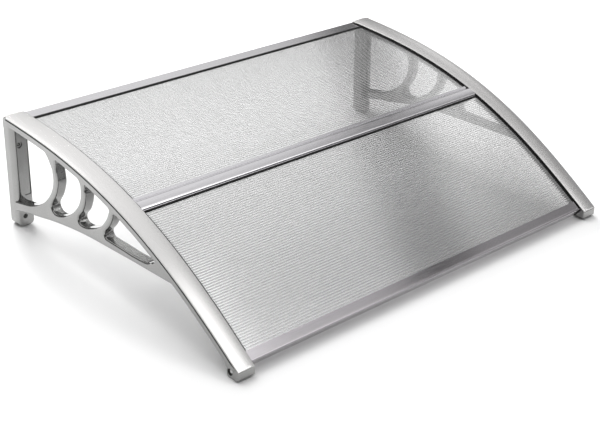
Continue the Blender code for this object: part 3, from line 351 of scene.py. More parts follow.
def arc(center, radius, start, end, count):
    """Points on an arc, with angles in degrees from the first axis towards the second."""
    angles = [math.radians(start + (end - start) * index / count) for index in range(count + 1)]
    return [(center[0] + radius * math.cos(a), center[1] + radius * math.sin(a)) for a in angles]


def mixed(points, weights):
    """Weighted sum of side-view points."""
    return tuple(sum(w * p[axis] for w, p in zip(weights, points)) for axis in (0, 1))


def smooth(points):
    """Rounded line through the points."""
    ends = [points[0], *points, points[-1]]
    line = []
    for before, start, end, after in zip(ends, ends[1:], ends[2:], ends[3:]):
        for step in range(LINE_STEPS):
            t = step / LINE_STEPS
            weights = (
                -0.5 * t + t * t - 0.5 * t**3,
                1 - 2.5 * t * t + 1.5 * t**3,
                0.5 * t + 2 * t * t - 1.5 * t**3,
                -0.5 * t * t + 0.5 * t**3,
            )
            line.append(mixed((before, start, end, after), weights))
    line.append(tuple(points[-1]))
    return line


def rounded(corners, steps):
    """Closed outline whose corners are (a, b, radius), each radius turned into an arc."""
    outline = []
    count = len(corners)
    for index, (a, b, radius) in enumerate(corners):
        corner = Vector((a, b))
        to_last = Vector(corners[index - 1][:2]) - corner
        to_next = Vector(corners[(index + 1) % count][:2]) - corner
        half = to_last.angle(to_next) / 2
        if radius == 0 or half > NEARLY_STRAIGHT:
            outline.append((a, b))
            continue
        limits = [CORNER_SHARE * to_last.length, CORNER_SHARE * to_next.length]
        reach = min(radius / math.tan(half), *limits)
        start = corner + to_last.normalized() * reach
        end = corner + to_next.normalized() * reach
        middle = (to_last.normalized() + to_next.normalized()).normalized()
        center = corner + middle * (reach / math.cos(half))
        first = start - center
        turn = first.angle_signed(end - center)
        for step in range(steps + 1):
            spoke = first.copy()
            spoke.rotate(Matrix.Rotation(-turn * step / steps, 2))
            outline.append(tuple(center + spoke))
    return outline


ALONG_X = Matrix(((0, 0, 1, 0), (1, 0, 0, 0), (0, 1, 0, 0), (0, 0, 0, 1)))
ALONG_Y = Matrix(((1, 0, 0, 0), (0, 0, -1, 0), (0, 1, 0, 0), (0, 0, 0, 1)))
ALONG_Z = Matrix.Identity(4)


def shade(mesh):
    """Smooth shading with sharp corners."""
    mesh.shade_smooth()
    mesh.set_sharp_from_angle(angle=SHARP_ANGLE)


def store(shape, mesh):
    """Write a shape into a mesh and shade it."""
    shape.to_mesh(mesh)
    shape.free()
    shade(mesh)


def welded(source, clean=False):
    """Mesh of an object as its modifiers leave it, welded and shaded."""
    bpy.context.view_layer.update()
    graph = bpy.context.evaluated_depsgraph_get()
    mesh = bpy.data.meshes.new_from_object(source.evaluated_get(graph))
    shape = bmesh.new()
    shape.from_mesh(mesh)
    bmesh.ops.remove_doubles(shape, verts=shape.verts, dist=WELD_DISTANCE)
    if clean:
        bmesh.ops.dissolve_degenerate(shape, edges=shape.edges, dist=WELD_DISTANCE)
    bmesh.ops.recalc_face_normals(shape, faces=shape.faces)
    store(shape, mesh)
    return mesh


def to_mesh(source, name):
    """Mesh object made from a curve object, with its caps welded."""
    mesh = welded(source)
    placing = source.matrix_world.copy()
    bpy.data.objects.remove(source, do_unlink=True)
    result = bpy.data.objects.new(name, mesh)
    result.matrix_world = placing
    return result


def flat_curve(name, outlines):
    """Flat curve of closed outlines."""
    curve = bpy.data.curves.new(name, "CURVE")
    curve.dimensions = "2D"
    for outline in outlines:
        spline = curve.splines.new("POLY")
        spline.points.add(len(outline) - 1)
        spline.use_cyclic_u = True
        for point, (a, b) in zip(spline.points, outline):
            point.co = (a, b, 0.0, 1.0)
    return curve


def prism(name, outlines, axis, low, high, rim=0.0, grow=0.0):
    """Outline, with any holes after it, pushed along an axis from low to high."""
    curve = flat_curve(name, outlines)
    curve.fill_mode = "BOTH"
    curve.extrude = (high - low) / 2 - rim
    curve.bevel_depth = rim
    curve.bevel_resolution = RIM_STEPS
    curve.offset = grow - rim
    source = add(name, curve)
    middle = (low + high) / 2
    source.matrix_world = axis @ Matrix.Translation((0, 0, -middle if axis is ALONG_Y else middle))
    return to_mesh(source, name)


def along_x(name, outlines, side, start, end, rim=0.0, grow=0.0):
    """Side-view outline pushed along X between two distances in from one outer face."""
    edges = sorted(side * (WIDTH / 2 - distance) for distance in (start, end))
    return prism(name, outlines, ALONG_X, edges[0], edges[1], rim, grow)


def combine(piece, tool, operation="DIFFERENCE"):
    """Cut, join or clip a piece with a tool that stays hidden."""
    WORK.objects.link(tool)
    tool.hide_render = True
    tool.display_type = "WIRE"
    step = piece.modifiers.new(tool.name, "BOOLEAN")
    step.operation = operation
    step.object = tool
    step.show_viewport = False
    return piece


def cut(body, label, outline, side, start, end, grow=0.0):
    """Cut a body with a side-view outline pushed along X."""
    combine(body, along_x(f"{label}_{body.name}", [outline], side, start, end, grow=grow))


def drill(body, label, radius, depth, matrix):
    """Cut a round hole centred on the matrix, along its Z axis."""
    mesh = bpy.data.meshes.new(label)
    shape = bmesh.new()
    bmesh.ops.create_cone(
        shape, cap_ends=True, segments=ROUND_SEGMENTS, radius1=radius, radius2=radius, depth=depth
    )
    store(shape, mesh)
    tool = bpy.data.objects.new(f"{label}_{body.name}", mesh)
    tool.matrix_world = matrix
    combine(body, tool)


def widen(piece):
    """Spread a piece's inner edge towards the rear, so that it follows the covers' taper."""
    reach = COVER_FRONT_WIDTH - COVER_FLANGE - TAPER_FROM
    for vertex in piece.data.vertices:
        point = piece.matrix_world @ vertex.co
        inset = WIDTH / 2 - abs(point.x)
        share = min(max((inset - TAPER_FROM) / reach, 0.0), 1.0)
        spread = cover_width(distance_at(-point.y, 0.0)) - COVER_FRONT_WIDTH
        point.x = math.copysign(WIDTH / 2 - inset - spread * share, point.x)
        vertex.co = piece.matrix_world.inverted() @ point
    return piece


def sweep(name, profile, x, start, end, count):
    """Closed section carried along the roof curve, its second axis square to the curve."""
    # A section carried towards the front lies with its first axis along -X
    section = add("section", flat_curve("section", [[(-a, b) for a, b in profile]]))
    path = bpy.data.curves.new(name, "CURVE")
    path.dimensions = "3D"
    path.twist_mode = "Z_UP"
    path.bevel_mode = "OBJECT"
    path.bevel_object = section
    path.use_fill_caps = True
    line = path.splines.new("POLY")
    line.points.add(count)
    for point, (y, z) in zip(line.points, roof_run(start, end, 0.0, count)):
        point.co = (x, y, z, 1.0)
    result = to_mesh(add(name, path), name)
    bpy.data.objects.remove(section, do_unlink=True)
    return result


def turned_corner(before, corner, after):
    """Points of a curve that rounds a corner between two lines, which are trimmed for it."""
    def clear(point):
        return math.dist(point, corner) > CORNER_REACH
    while not clear(before[-1]):
        before.pop()
    while not clear(after[0]):
        after.pop(0)
    points = (before[-1], corner, after[0])
    shares = [index / CORNER_STEPS for index in range(1, CORNER_STEPS)]
    return [mixed(points, ((1 - t) ** 2, 2 * t * (1 - t), t * t)) for t in shares]


def band(start, end, top, bottom, count):
    """Outline of a layer of the roof between two distances and two depths."""
    return roof_run(start, end, top, count) + roof_run(end, start, bottom, count)


def front_rail_outline():
    """Outer edge of the front rail's section, as distances and depths."""
    inner = SHEET_TOP - SEAT_GAP
    bead = (FRONT_FACE - BEAD_RADIUS, RAIL_TOP - BEAD_RISE + BEAD_RADIUS)
    lip_end = bead[0] - LIP_MEETS_BEAD * BEAD_RADIUS
    groove = FRONT_FACE - FRONT_GROOVE
    groove_top = bead[1] + GROOVE_MEETS_BEAD * BEAD_RADIUS
    groove_end = groove_top + FRONT_GROOVE_HEIGHT
    foot = (FRONT_FACE - FRONT_ROUND, FRONT_BOTTOM - FRONT_ROUND)
    slot_end = FRONT_BACK + FRONT_WALL
    flange_bottom = RAIL_UNDER + LIP_THICKNESS
    return [
        (FRONT_LIP_START, inner), (FRONT_LIP_START, RAIL_TOP), (lip_end, RAIL_TOP),
        *arc(bead, BEAD_RADIUS, *BEAD_ARC, BEAD_STEPS),
        (groove, groove_top), (groove, groove_end), (FRONT_FACE, groove_end + FRONT_SHOULDER),
        *arc(foot, FRONT_ROUND, 0, 90, FRONT_FOOT_STEPS),
        (FRONT_BACK + FRONT_FOOT_INSET, FRONT_BOTTOM), (FRONT_BACK, FRONT_BOTTOM - FRONT_FOOT_RISE),
        (FRONT_BACK, flange_bottom), (FRONT_UNDER_START, flange_bottom),
        (FRONT_UNDER_START, RAIL_UNDER), (slot_end, RAIL_UNDER), (slot_end, inner),
    ]


def screw_port():
    """Point (y, z) of the front rail's screw."""
    return roof(SCREW_PORT_AT, SCREW_PORT_DEPTH)


def on_roof(outline):
    """Side-view points for an outline given as distances and depths."""
    return [roof(distance, depth) for distance, depth in outline]


def opening(points, tops):
    """Closed outline of one opening, its side walls rounded into the chord above it."""
    walls = smooth(between_edges(points))
    first, last = (distance_at(forward * ARC_LENGTH, CHORD_UNDER) for forward in tops)
    top = roof_run(last, first, CHORD_UNDER, TOP_STEPS)
    first_bend = turned_corner(walls, top.pop(0), top)
    last_bend = turned_corner(top, top.pop(), walls)
    return [*walls, *first_bend, *top, *last_bend]


def web_outlines():
    """Edge and four openings of the openwork web, with the top chord in one piece with it."""
    line = lower_edge()
    run_out = line[-1][0]
    front = TIP_WALL_START + JOIN_OVERLAP
    edge = smooth([(-forward, z) for forward, z in line[:-1]])
    edge += roof_run(distance_at(run_out, CHORD_UNDER), front, CHORD_UNDER, HALF_ROOF_STEPS)
    edge += roof_run(front, CHORD_REAR, 0.0, HALF_ROOF_STEPS)
    last_share = run_out / ARC_LENGTH
    nose = [(last_share - back, height) for back, height in LAST_NOSE]
    walls = [*OPENINGS[:-1], OPENINGS[-1] + nose]
    tops = [*OPENING_TOPS, (LAST_TOP, last_share - LAST_TIP)]
    return [edge, *map(opening, walls, tops)]


def cover_edge(distance):
    """Depth of the covers' lower edge, thinning out over the tip."""
    if distance <= SEAM_TURN:
        return COVER_EDGE
    share = (distance - SEAM_TURN) / (COVER_END - SEAM_TURN)
    return COVER_EDGE + (COVER_EDGE_END - COVER_EDGE) * share


def over_bracket():
    """Side view of the space above the bracket's outer lip and tip."""
    floor = roof_run(-CUT_MARGIN, SEAM_TURN, LIP_TOP, ROOF_STEPS)
    beyond = COVER_END + 2 * CUT_MARGIN
    end = cover_edge(COVER_END) + SEAM_END
    fall = (LIP_TOP - end) / (COVER_END - SEAM_TURN)
    floor += [roof(COVER_END, end), roof(beyond, end - (beyond - COVER_END) * fall)]
    return floor + roof_run(beyond, -CUT_MARGIN, -2 * CUT_MARGIN, BEYOND_STEPS)


def over_flange():
    """Side view of the space above the bracket's flange, where cover and sheet lie."""
    return band(-CUT_MARGIN, TIP_WALL_START, -2 * CUT_MARGIN, BRACKET_TOP, ROOF_STEPS)


def rear_cap(name, side):
    """Rounded rear corner: an outer cheek and a thin wall behind the cover's end."""
    top = ROOF_TOP - REAR_CAP_SINK
    bottom = ROOF_TOP - REAR_CAP_HEIGHT
    center = (-REAR_CAP_ROUND, top - REAR_CAP_ROUND)
    outline = [(0.0, bottom), *arc(center, REAR_CAP_ROUND, 0, 90, WIDE_ROUND_STEPS)]
    outline += [(-REAR_CAP_LENGTH, top), (-REAR_CAP_LENGTH, bottom)]
    cap = along_x(f"rear_cap_{name}", [outline], side, 0.0, COVER_REAR_WIDTH)
    over, under, beyond = top + CUT_MARGIN, bottom - CUT_MARGIN, REAR_CAP_LENGTH + CUT_MARGIN
    room = [(-REAR_WALL, over), (-beyond, over), (-beyond, under), (-REAR_WALL, under)]
    inside = along_x(f"rear_room_{name}", [room], side, REAR_CHEEK, COVER_REAR_WIDTH + CUT_MARGIN)
    return combine(cap, inside)


def leg(side):
    """Wall leg: its plan with one soft corner, clipped by its front view with a round foot."""
    outer = WIDTH / 2
    inner = outer - LEG_WIDTH
    plan = rounded(
        [
            (side * outer, 0, LEG_REAR_ROUND), (side * inner, 0, LEG_REAR_ROUND),
            (side * inner, -LEG_DEPTH, LEG_INNER_ROUND), (side * outer, -LEG_DEPTH, LEG_CORNER),
        ],
        ROUND_STEPS,
    )
    top, foot = ROOF_TOP - LEG_TOP_SINK, ROOF_TOP - LEG_HEIGHT
    body = prism(f"leg_{side}", [plan], ALONG_Z, foot, top)
    front = rounded(
        [
            (side * (outer + CUT_MARGIN), top + CUT_MARGIN, 0),
            (side * (inner - CUT_MARGIN), top + CUT_MARGIN, 0),
            (side * inner, foot, LEG_FOOT_ROUND), (side * outer, foot, LEG_FOOT_ROUND),
        ],
        WIDE_ROUND_STEPS,
    )
    clip = prism(f"leg_foot_{side}", [front], ALONG_Y, -LEG_DEPTH - CUT_MARGIN, CUT_MARGIN)
    return body, clip


def tip_outline():
    """Side view of the end block that closes the front rail."""
    port_y, port_z = screw_port()
    front = port_y - TIP_FRONT
    bottom = port_z - TIP_BOTTOM
    wall = TIP_WALL_START - JOIN_OVERLAP
    join = BRACKET_TOP + 2 * JOIN_OVERLAP
    corners = [
        (*roof(TIP_START, join), 0),
        (*roof(wall, join), 0),
        (*roof(wall, -CUT_MARGIN), 0),
        (front, roof(COVER_END, -CUT_MARGIN)[1], 0),
        (front, bottom, TIP_FRONT_ROUND),
        (port_y + TIP_REAR, bottom, TIP_ROUND),
        (port_y + TIP_REAR, port_z + TIP_SHOULDER, TIP_SHOULDER_ROUND),
        (*roof(TIP_START, CHORD_UNDER - TIP_SINK), 0),
    ]
    return rounded(corners, ROUND_STEPS)


def tip_corner(side):
    """Wedge that rounds the lower inner corner of the tip."""
    bottom = screw_port()[1] - TIP_BOTTOM
    inner = side * (WIDTH / 2 - COVER_FRONT_WIDTH)
    center = (inner + side * TIP_INNER_ROUND, bottom + TIP_INNER_ROUND)
    beyond = inner - side * CUT_MARGIN
    angles = [math.radians(90 * step / TIP_CORNER_STEPS) for step in range(TIP_CORNER_STEPS + 1)]
    curve = []
    for a in angles:
        x = center[0] - side * TIP_INNER_ROUND * math.cos(a)
        curve.append((x, center[1] - TIP_INNER_ROUND * math.sin(a)))
    under = bottom - CUT_MARGIN
    return [(beyond, center[1]), *curve, (center[0], under), (beyond, under)]


def bracket(name, side):
    """One moulded bracket: leg, web with chord, flange, rear corner and tip."""
    body, foot = leg(side)
    body.name = name
    WORK.objects.link(body)
    combine(body, foot, "INTERSECT")
    web = along_x(f"web_{name}", web_outlines(), side, WEB_INSET, WEB_WIDTH, WEB_RIM)
    combine(body, web, "UNION")
    tip = along_x(f"tip_{name}", [tip_outline()], side, 0.0, COVER_FRONT_WIDTH, TIP_RIM)
    combine(body, tip, "UNION")
    inside = COVER_REAR_WIDTH + CUT_MARGIN
    cut(body, "over_lip", over_bracket(), side, -CUT_MARGIN, inside)
    cut(body, "over_flange", over_flange(), side, OUTER_LIP, inside)
    under = BRACKET_TOP + FLANGE_THICKNESS
    rear, front = REAR_WALL - JOIN_OVERLAP, TIP_WALL_START + 2 * JOIN_OVERLAP
    flange = band(rear, front, BRACKET_TOP + FLANGE_SINK, under, ROOF_STEPS)
    join = WEB_WIDTH - FLANGE_OVERLAP
    flange_tool = along_x(f"flange_{name}", [flange], side, join, FLANGE_WIDTH)
    combine(body, widen(flange_tool), "UNION")
    combine(body, rear_cap(name, side), "UNION")
    port_y = screw_port()[0]
    wedge = prism(
        f"tip_corner_{name}", [tip_corner(side)], ALONG_Y,
        port_y - TIP_FRONT - CUT_MARGIN, port_y + TIP_LENGTH + CUT_MARGIN,
    )
    combine(body, wedge)
    cut(
        body, "socket", on_roof(front_rail_outline()), side,
        COVER_FRONT_WIDTH - RAIL_INSERT - SEAT_GAP, COVER_FRONT_WIDTH + CUT_MARGIN,
        SOCKET_CLEARANCE,
    )
    cut_leg(body, side)
    cut_screw_holes(body, side)
    return body


def cut_leg(body, side):
    """Pocket and two wall-screw holes in the leg."""
    inner = WIDTH / 2 - LEG_WIDTH
    near, far = inner + POCKET_EDGE, inner + POCKET_EDGE + POCKET_WIDTH
    low, high = sorted((side * near, side * far))
    bottom, top = ROOF_TOP - POCKET_BOTTOM, ROOF_TOP - POCKET_TOP
    corners = [(low, bottom, POCKET_FOOT_ROUND), (high, bottom, POCKET_FOOT_ROUND)]
    corners += [(high, top, POCKET_HEAD_ROUND), (low, top, POCKET_HEAD_ROUND)]
    tool = prism(
        f"pocket_{body.name}", [rounded(corners, POCKET_STEPS)], ALONG_Y,
        -LEG_DEPTH - CUT_MARGIN, -LEG_DEPTH + POCKET_DEPTH,
    )
    combine(body, tool)
    x = side * (WIDTH / 2 - WALL_HOLE_OFFSET)
    turned = Matrix.Rotation(math.radians(90), 4, "X")
    upper = ("upper", UPPER_HOLE_BELOW, UPPER_RECESS_DIAMETER)
    lower = ("lower", LOWER_HOLE_BELOW, LOWER_RECESS_DIAMETER)
    for label, below, recess in (upper, lower):
        z = ROOF_TOP - below
        through = Matrix.Translation((x, -LEG_DEPTH / 2, z)) @ turned
        drill(body, f"{label}_hole", WALL_HOLE_DIAMETER / 2, WALL_HOLE_REACH, through)
        sunk = Matrix.Translation((x, -LEG_DEPTH, z)) @ turned
        drill(body, f"{label}_recess", recess / 2, 2 * RECESS_DEPTH, sunk)


def cut_screw_holes(body, side):
    """Holes for the cover's screws and for the front rail's screw."""
    x = side * (WIDTH / 2 - SCREW_RAIL_OFFSET)
    shank = SCREW_DIAMETER / 2 + SCREW_CLEARANCE
    head = SCREW_HEAD_DIAMETER / 2 + 2 * SCREW_CLEARANCE
    for index, distance in enumerate(COVER_SCREW_PLACES):
        place = Matrix.Translation((x, *roof(distance, CHORD_UNDER)))
        place @= Matrix.Rotation(slope_at(distance), 4, "X")
        drill(body, f"shank_hole_{index}", shank, 2 * CHORD_UNDER, place)
        drill(body, f"head_hole_{index}", head, 2 * HEAD_RECESS, place)
    y, z = screw_port()
    turned = Matrix.Rotation(math.radians(90), 4, "Y")
    place = Matrix.Translation((side * WIDTH / 2, y, z)) @ turned
    drill(body, "front_recess", FRONT_RECESS_DIAMETER / 2, 2 * FRONT_RECESS_DEPTH, place)
    drill(body, "front_hole", shank, 2 * COVER_FRONT_WIDTH, place)


def cover_section(side):
    """Section of a cover: a crowned skin, two short edge flanges and a solid screw rail."""
    half = COVER_FRONT_WIDTH / 2
    rail_middle = side * (half - SCREW_RAIL_OFFSET)
    rail_bottom = -(BRACKET_TOP - SEAT_GAP)
    left, right = rail_middle - SCREW_RAIL_WIDTH / 2, rail_middle + SCREW_RAIL_WIDTH / 2
    reach = half - COVER_ROUND
    bend = (COVER_ROUND, 180, 180 - COVER_ROUND_TOP, COVER_ROUND_STEPS)
    section = [(-half, -COVER_EDGE), *arc((-reach, -COVER_ROUND), *bend)]
    for index in range(CROWN_STEPS + 1):
        share = -1 + 2 * index / CROWN_STEPS
        section.append((share * reach, COVER_CROWN * (1 - share * share)))
    section += arc((reach, -COVER_ROUND), COVER_ROUND, COVER_ROUND_TOP, 0, COVER_ROUND_STEPS)
    inner = half - COVER_FLANGE
    section += [(half, -COVER_EDGE), (inner, -COVER_EDGE), (inner, -COVER_SKIN)]
    section += [(right, -COVER_SKIN), (right, rail_bottom), (left, rail_bottom)]
    return section + [(left, -COVER_SKIN), (-inner, -COVER_SKIN), (-inner, -COVER_EDGE)]


def cover(name, side):
    """Cover strip, cut square to the wall and eased over the tip."""
    x = side * (WIDTH / 2 - COVER_FRONT_WIDTH / 2)
    body = widen(sweep(name, cover_section(side), x, COVER_START, COVER_END, ROOF_STEPS))
    WORK.objects.link(body)
    high, low = ROOF_TOP + CUT_MARGIN, ROOF_TOP - 4 * CUT_MARGIN
    past = COVER_REAR_WIDTH + CUT_MARGIN
    notch = ("notch", REAR_CAP_LENGTH + SEAT_GAP, OUTER_LIP + SEAT_GAP)
    for label, depth, inset in (("back", COVER_BACK, past), notch):
        box = [(CUT_MARGIN, high), (-depth, high), (-depth, low), (CUT_MARGIN, low)]
        cut(body, label, box, side, -CUT_MARGIN, inset)
    beyond = COVER_END + CUT_MARGIN
    wall, step = TIP_WALL_START - SEAT_GAP, COVER_EDGE + JOIN_OVERLAP
    ease = [
        roof(SEAM_TURN, COVER_EDGE), roof(beyond, cover_edge(beyond)), roof(beyond, CHORD_UNDER),
        roof(wall, CHORD_UNDER), roof(wall, step), roof(SEAM_TURN, step),
    ]
    cut(body, "ease", ease, side, -CUT_MARGIN, past)
    center = (COVER_END - COVER_NOSE, COVER_NOSE - COVER_CROWN)
    start = COVER_END - 2 * COVER_NOSE
    nose = [(start, center[1] - COVER_NOSE), *arc(center, COVER_NOSE, -90, 0, ROUND_STEPS)]
    nose += [(beyond, center[1]), (beyond, -CUT_MARGIN), (start, -CUT_MARGIN)]
    cut(body, "nose", on_roof(nose), side, -CUT_MARGIN, past)
    return body


def side_seal(name, side, start, end):
    """U-shaped strip along a sheet's side edge, clamped between cover and bracket."""
    top = -(COVER_EDGE + SEAT_GAP)
    over, under = -(SHEET_TOP - SEAT_GAP), -RAIL_UNDER
    bottom = under - SEAL_LEG
    slot = -(SHEET_INSET - SEAT_GAP)
    outer = slot + SEAL_LEG
    inner = -COVER_FRONT_WIDTH
    pressed = inner + SEAL_PRESS_WIDTH
    lip = inner - SEAL_LIP_WIDTH
    leg_end = lip - SEAL_UNDER_WIDTH
    section = [
        (outer, bottom), (outer, over + SEAL_LEG), (pressed, over + SEAL_LEG), (pressed, top),
        (inner, top), (inner, over + SEAL_LEG), (lip, over + SEAL_LEG / 2), (lip, over),
        (slot, over), (slot, under), (leg_end, under), (leg_end, bottom),
    ]
    section = [(side * a, b) for a, b in section]
    strip = sweep(name, section, side * WIDTH / 2, start, end, HALF_ROOF_STEPS)
    WORK.objects.link(strip)
    add_teeth(strip, side, start, end, SEAL_UNDER_WIDTH - lip, -bottom)
    return widen(strip)


def add_teeth(strip, side, start, end, inset, depth):
    """Comb of small teeth along a side seal's lower leg, one to each cell of the sheet."""
    shape = bmesh.new()
    shape.from_mesh(strip.data)
    root = side * (WIDTH / 2 - inset + JOIN_OVERLAP)
    tip = side * (WIDTH / 2 - inset - TOOTH_LENGTH)
    count = int((end - start) / CELL_PITCH)
    top = depth - TOOTH_HEIGHT
    for index in range(count):
        middle = start + (index + 0.5) * (end - start) / count
        ends = []
        for x, half in ((root, TOOTH_WIDTH / 2), (tip, TOOTH_TIP_WIDTH / 2)):
            corners = ((-half, depth), (half, depth), (half, top), (-half, top))
            ends.append([
                shape.verts.new((x, *roof(middle + along, level))) for along, level in corners
            ])
        near, far = ends
        shape.faces.new(near)
        shape.faces.new(far[::-1])
        for place in range(4):
            after = (place + 1) % 4
            shape.faces.new((near[place], far[place], far[after], near[after]))
    bmesh.ops.recalc_face_normals(shape, faces=shape.faces)
    shape.to_mesh(strip.data)
    shape.free()


def seam_strip(name, side):
    """Black strip in the seam between the cover's outer edge and the bracket's lip."""
    start, end = REAR_CAP_LENGTH + SEAM_STRIP_END, SEAM_TURN - SEAM_STRIP_END
    strip = band(start, end, COVER_EDGE + SEAT_GAP / 2, LIP_TOP - SEAT_GAP / 2, ROOF_STEPS)
    inner = SEAM_STRIP_INSET + SEAM_STRIP_WIDTH
    piece = along_x(name, [strip], side, SEAM_STRIP_INSET, inner)
    WORK.objects.link(piece)
    return piece


def settle(body):
    """Apply a piece's joins and cuts, remove the tools and shade it smooth."""
    tools = [step.object for step in body.modifiers]
    tools += [step.object for tool in tools for step in tool.modifiers]
    for piece in [body, *tools]:
        for step in piece.modifiers:
            step.show_viewport = True
    mesh = welded(body, clean=True)
    body.modifiers.clear()
    body.data = mesh
    for tool in tools:
        bpy.data.objects.remove(tool, do_unlink=True)
    body.modifiers.new("weighted", "WEIGHTED_NORMAL").keep_sharp = True
    return body


# Sheets
def sheet(name, start, end):
    """Twin-wall sheet with open cells, its skins bulging a little between the webs."""
    cells = max(2, round((end - start) / CELL_PITCH))
    pitch = (end - start) / cells
    reach = WIDTH / 2 - SHEET_INSET
    wall = SHEET_WEB / 2 / pitch
    shares = [wall + (1 - 2 * wall) * index / CELL_STEPS for index in range(CELL_STEPS + 1)]
    shape = bmesh.new()

    def lane(distance, depth):
        """The two ends of one line along X."""
        y, z = roof(distance, depth)
        return [shape.verts.new((x, y, z)) for x in (-reach, reach)]

    def strip(first, second, slot):
        """Face between two lines along X."""
        face = shape.faces.new((first[0], first[1], second[1], second[0]))
        face.material_index = slot

    def cap(lines):
        """Faces that close both ends between lines along X."""
        for side, order in ((0, 1), (1, -1)):
            shape.faces.new([line[side] for line in lines][::order])

    def layer(low, places, inset):
        """Lines along X of one cell, at a depth in from the sheet's top and its underside."""
        under = SHEET_TOP + SHEET_THICKNESS
        pairs = []
        for share in places:
            sink = RIPPLE * (2 * share - 1) ** 2
            place = low + share * pitch
            pairs.append((lane(place, SHEET_TOP + inset + sink), lane(place, under - inset - sink)))
        return zip(*pairs)

    outer_last = None
    for cell in range(cells):
        low = start + cell * pitch
        tops, bottoms = layer(low, [0.0, *shares], 0.0)
        roofs, floors = layer(low, shares, SHEET_SKIN)
        for index, (before, after) in enumerate(zip(tops, tops[1:])):
            plain = JOINT_STEPS < index <= CELL_STEPS - JOINT_STEPS + 1
            strip(before, after, FACE_SLOT if plain else JOINT_SLOT)
        for lines, slot in ((bottoms, FACE_SLOT), (roofs, INNER_SLOT)):
            for before, after in zip(lines, lines[1:]):
                strip(after, before, slot)
        for before, after in zip(floors, floors[1:]):
            strip(before, after, INNER_SLOT)
        strip(roofs[0], floors[0], WEB_SLOT)
        strip(floors[-1], roofs[-1], WEB_SLOT)
        for index in range(CELL_STEPS):
            cap([tops[index + 1], tops[index + 2], roofs[index + 1], roofs[index]])
            cap([floors[index], floors[index + 1], bottoms[index + 2], bottoms[index + 1]])
        first = [tops[0], tops[1], roofs[0], floors[0], bottoms[1], bottoms[0]]
        if outer_last is None:
            strip(bottoms[0], tops[0], WEB_SLOT)
            cap(first)
        else:
            top, bottom, ceiling, floor = outer_last
            strip(top, tops[0], JOINT_SLOT)
            strip(bottoms[0], bottom, FACE_SLOT)
            cap([top, *first, bottom, floor, ceiling])
        outer_last = (tops[-1], bottoms[-1], roofs[-1], floors[-1])
    top, bottom, ceiling, floor = outer_last
    tops, bottoms = lane(end, SHEET_TOP + RIPPLE), lane(end, SHEET_TOP + SHEET_THICKNESS - RIPPLE)
    strip(top, tops, FACE_SLOT)
    strip(bottoms, bottom, FACE_SLOT)
    strip(tops, bottoms, WEB_SLOT)
    cap([top, tops, bottoms, bottom, floor, ceiling])
    bmesh.ops.remove_doubles(shape, verts=shape.verts, dist=SHEET_WELD_DISTANCE)
    bmesh.ops.recalc_face_normals(shape, faces=shape.faces)
    mesh = bpy.data.meshes.new(name)
    store(shape, mesh)
    return add(name, mesh)


# Node tree helpers
def new_material(name):
    """Empty material with a Principled shader and its node tree."""
    result = bpy.data.materials.new(name)
    result.use_nodes = True
    tree = result.node_tree
    tree.nodes.clear()
    output = tree.nodes.new("ShaderNodeOutputMaterial")
    shader = tree.nodes.new("ShaderNodeBsdfPrincipled")
    tree.links.new(shader.outputs["BSDF"], output.inputs["Surface"])
    return result, tree, shader


def node(tree, kind, links=None, values=None, **settings):
    """New node with its settings, input values and links."""
    result = tree.nodes.new(kind)
    for key, value in settings.items():
        setattr(result, key, value)
    for key, value in (values or {}).items():
        result.inputs[key].default_value = value
    for key, source in (links or {}).items():
        tree.links.new(source, result.inputs[key])
    return result


def ramp(tree, factor, stops):
    """Colour ramp with the given (position, colour) stops."""
    result = node(tree, "ShaderNodeValToRGB", {"Fac": factor})
    elements = result.color_ramp.elements
    while len(elements) > 1:
        elements.remove(elements[-1])
    for index, (position, color) in enumerate(stops):
        element = elements[0] if index == 0 else elements.new(position)
        element.position = position
        element.color = (*color, 1.0)
    return result.outputs["Color"]


def greys(*stops):
    """Stops of a ramp between neutral colours."""
    return [(position, (value, value, value)) for position, value in stops]


def noise(tree, stretch, scale, detail=2.0, roughness=0.5):
    """Noise factor over object coordinates stretched by three factors."""
    place = node(tree, "ShaderNodeTexCoord").outputs["Object"]
    mapping = node(tree, "ShaderNodeMapping", {"Vector": place}, {"Scale": stretch})
    values = {"Scale": scale, "Detail": detail, "Roughness": roughness}
    links = {"Vector": mapping.outputs["Vector"]}
    return node(tree, "ShaderNodeTexNoise", links, values).outputs["Fac"]


# Materials
EVEN = (1.0, 1.0, 1.0)
ALONG_ROOF = (60.0, 1.0, 1.0)
ACROSS_ROOF = (1.0, 60.0, 60.0)


def finish(name, grain, tint, values, gloss=None, relief=None, relief_grain=None):
    """Material whose colour, gloss and relief follow a grain, given as what noise() takes."""
    result, tree, shader = new_material(name)
    spots = noise(tree, *grain)
    tree.links.new(ramp(tree, spots, tint), shader.inputs["Base Color"])
    if gloss:
        tree.links.new(ramp(tree, spots, gloss), shader.inputs["Roughness"])
    if relief:
        height = noise(tree, *relief_grain) if relief_grain else spots
        strength, distance = relief
        bump = node(
            tree, "ShaderNodeBump", {"Height": height}, {"Strength": strength, "Distance": distance}
        )
        tree.links.new(bump.outputs["Normal"], shader.inputs["Normal"])
    for socket, value in values.items():
        shader.inputs[socket].default_value = value
    return result


def drawn(name, dark, light, roughness):
    """Drawn aluminium with faint lines along X."""
    return finish(
        name, (ACROSS_ROOF, 18.0, 3.0, 0.6), [(0.3, dark), (0.7, light)], {"Metallic": 1.0},
        greys((0.25, roughness), (0.75, roughness + 0.08)), (0.03, 0.0002),
    )


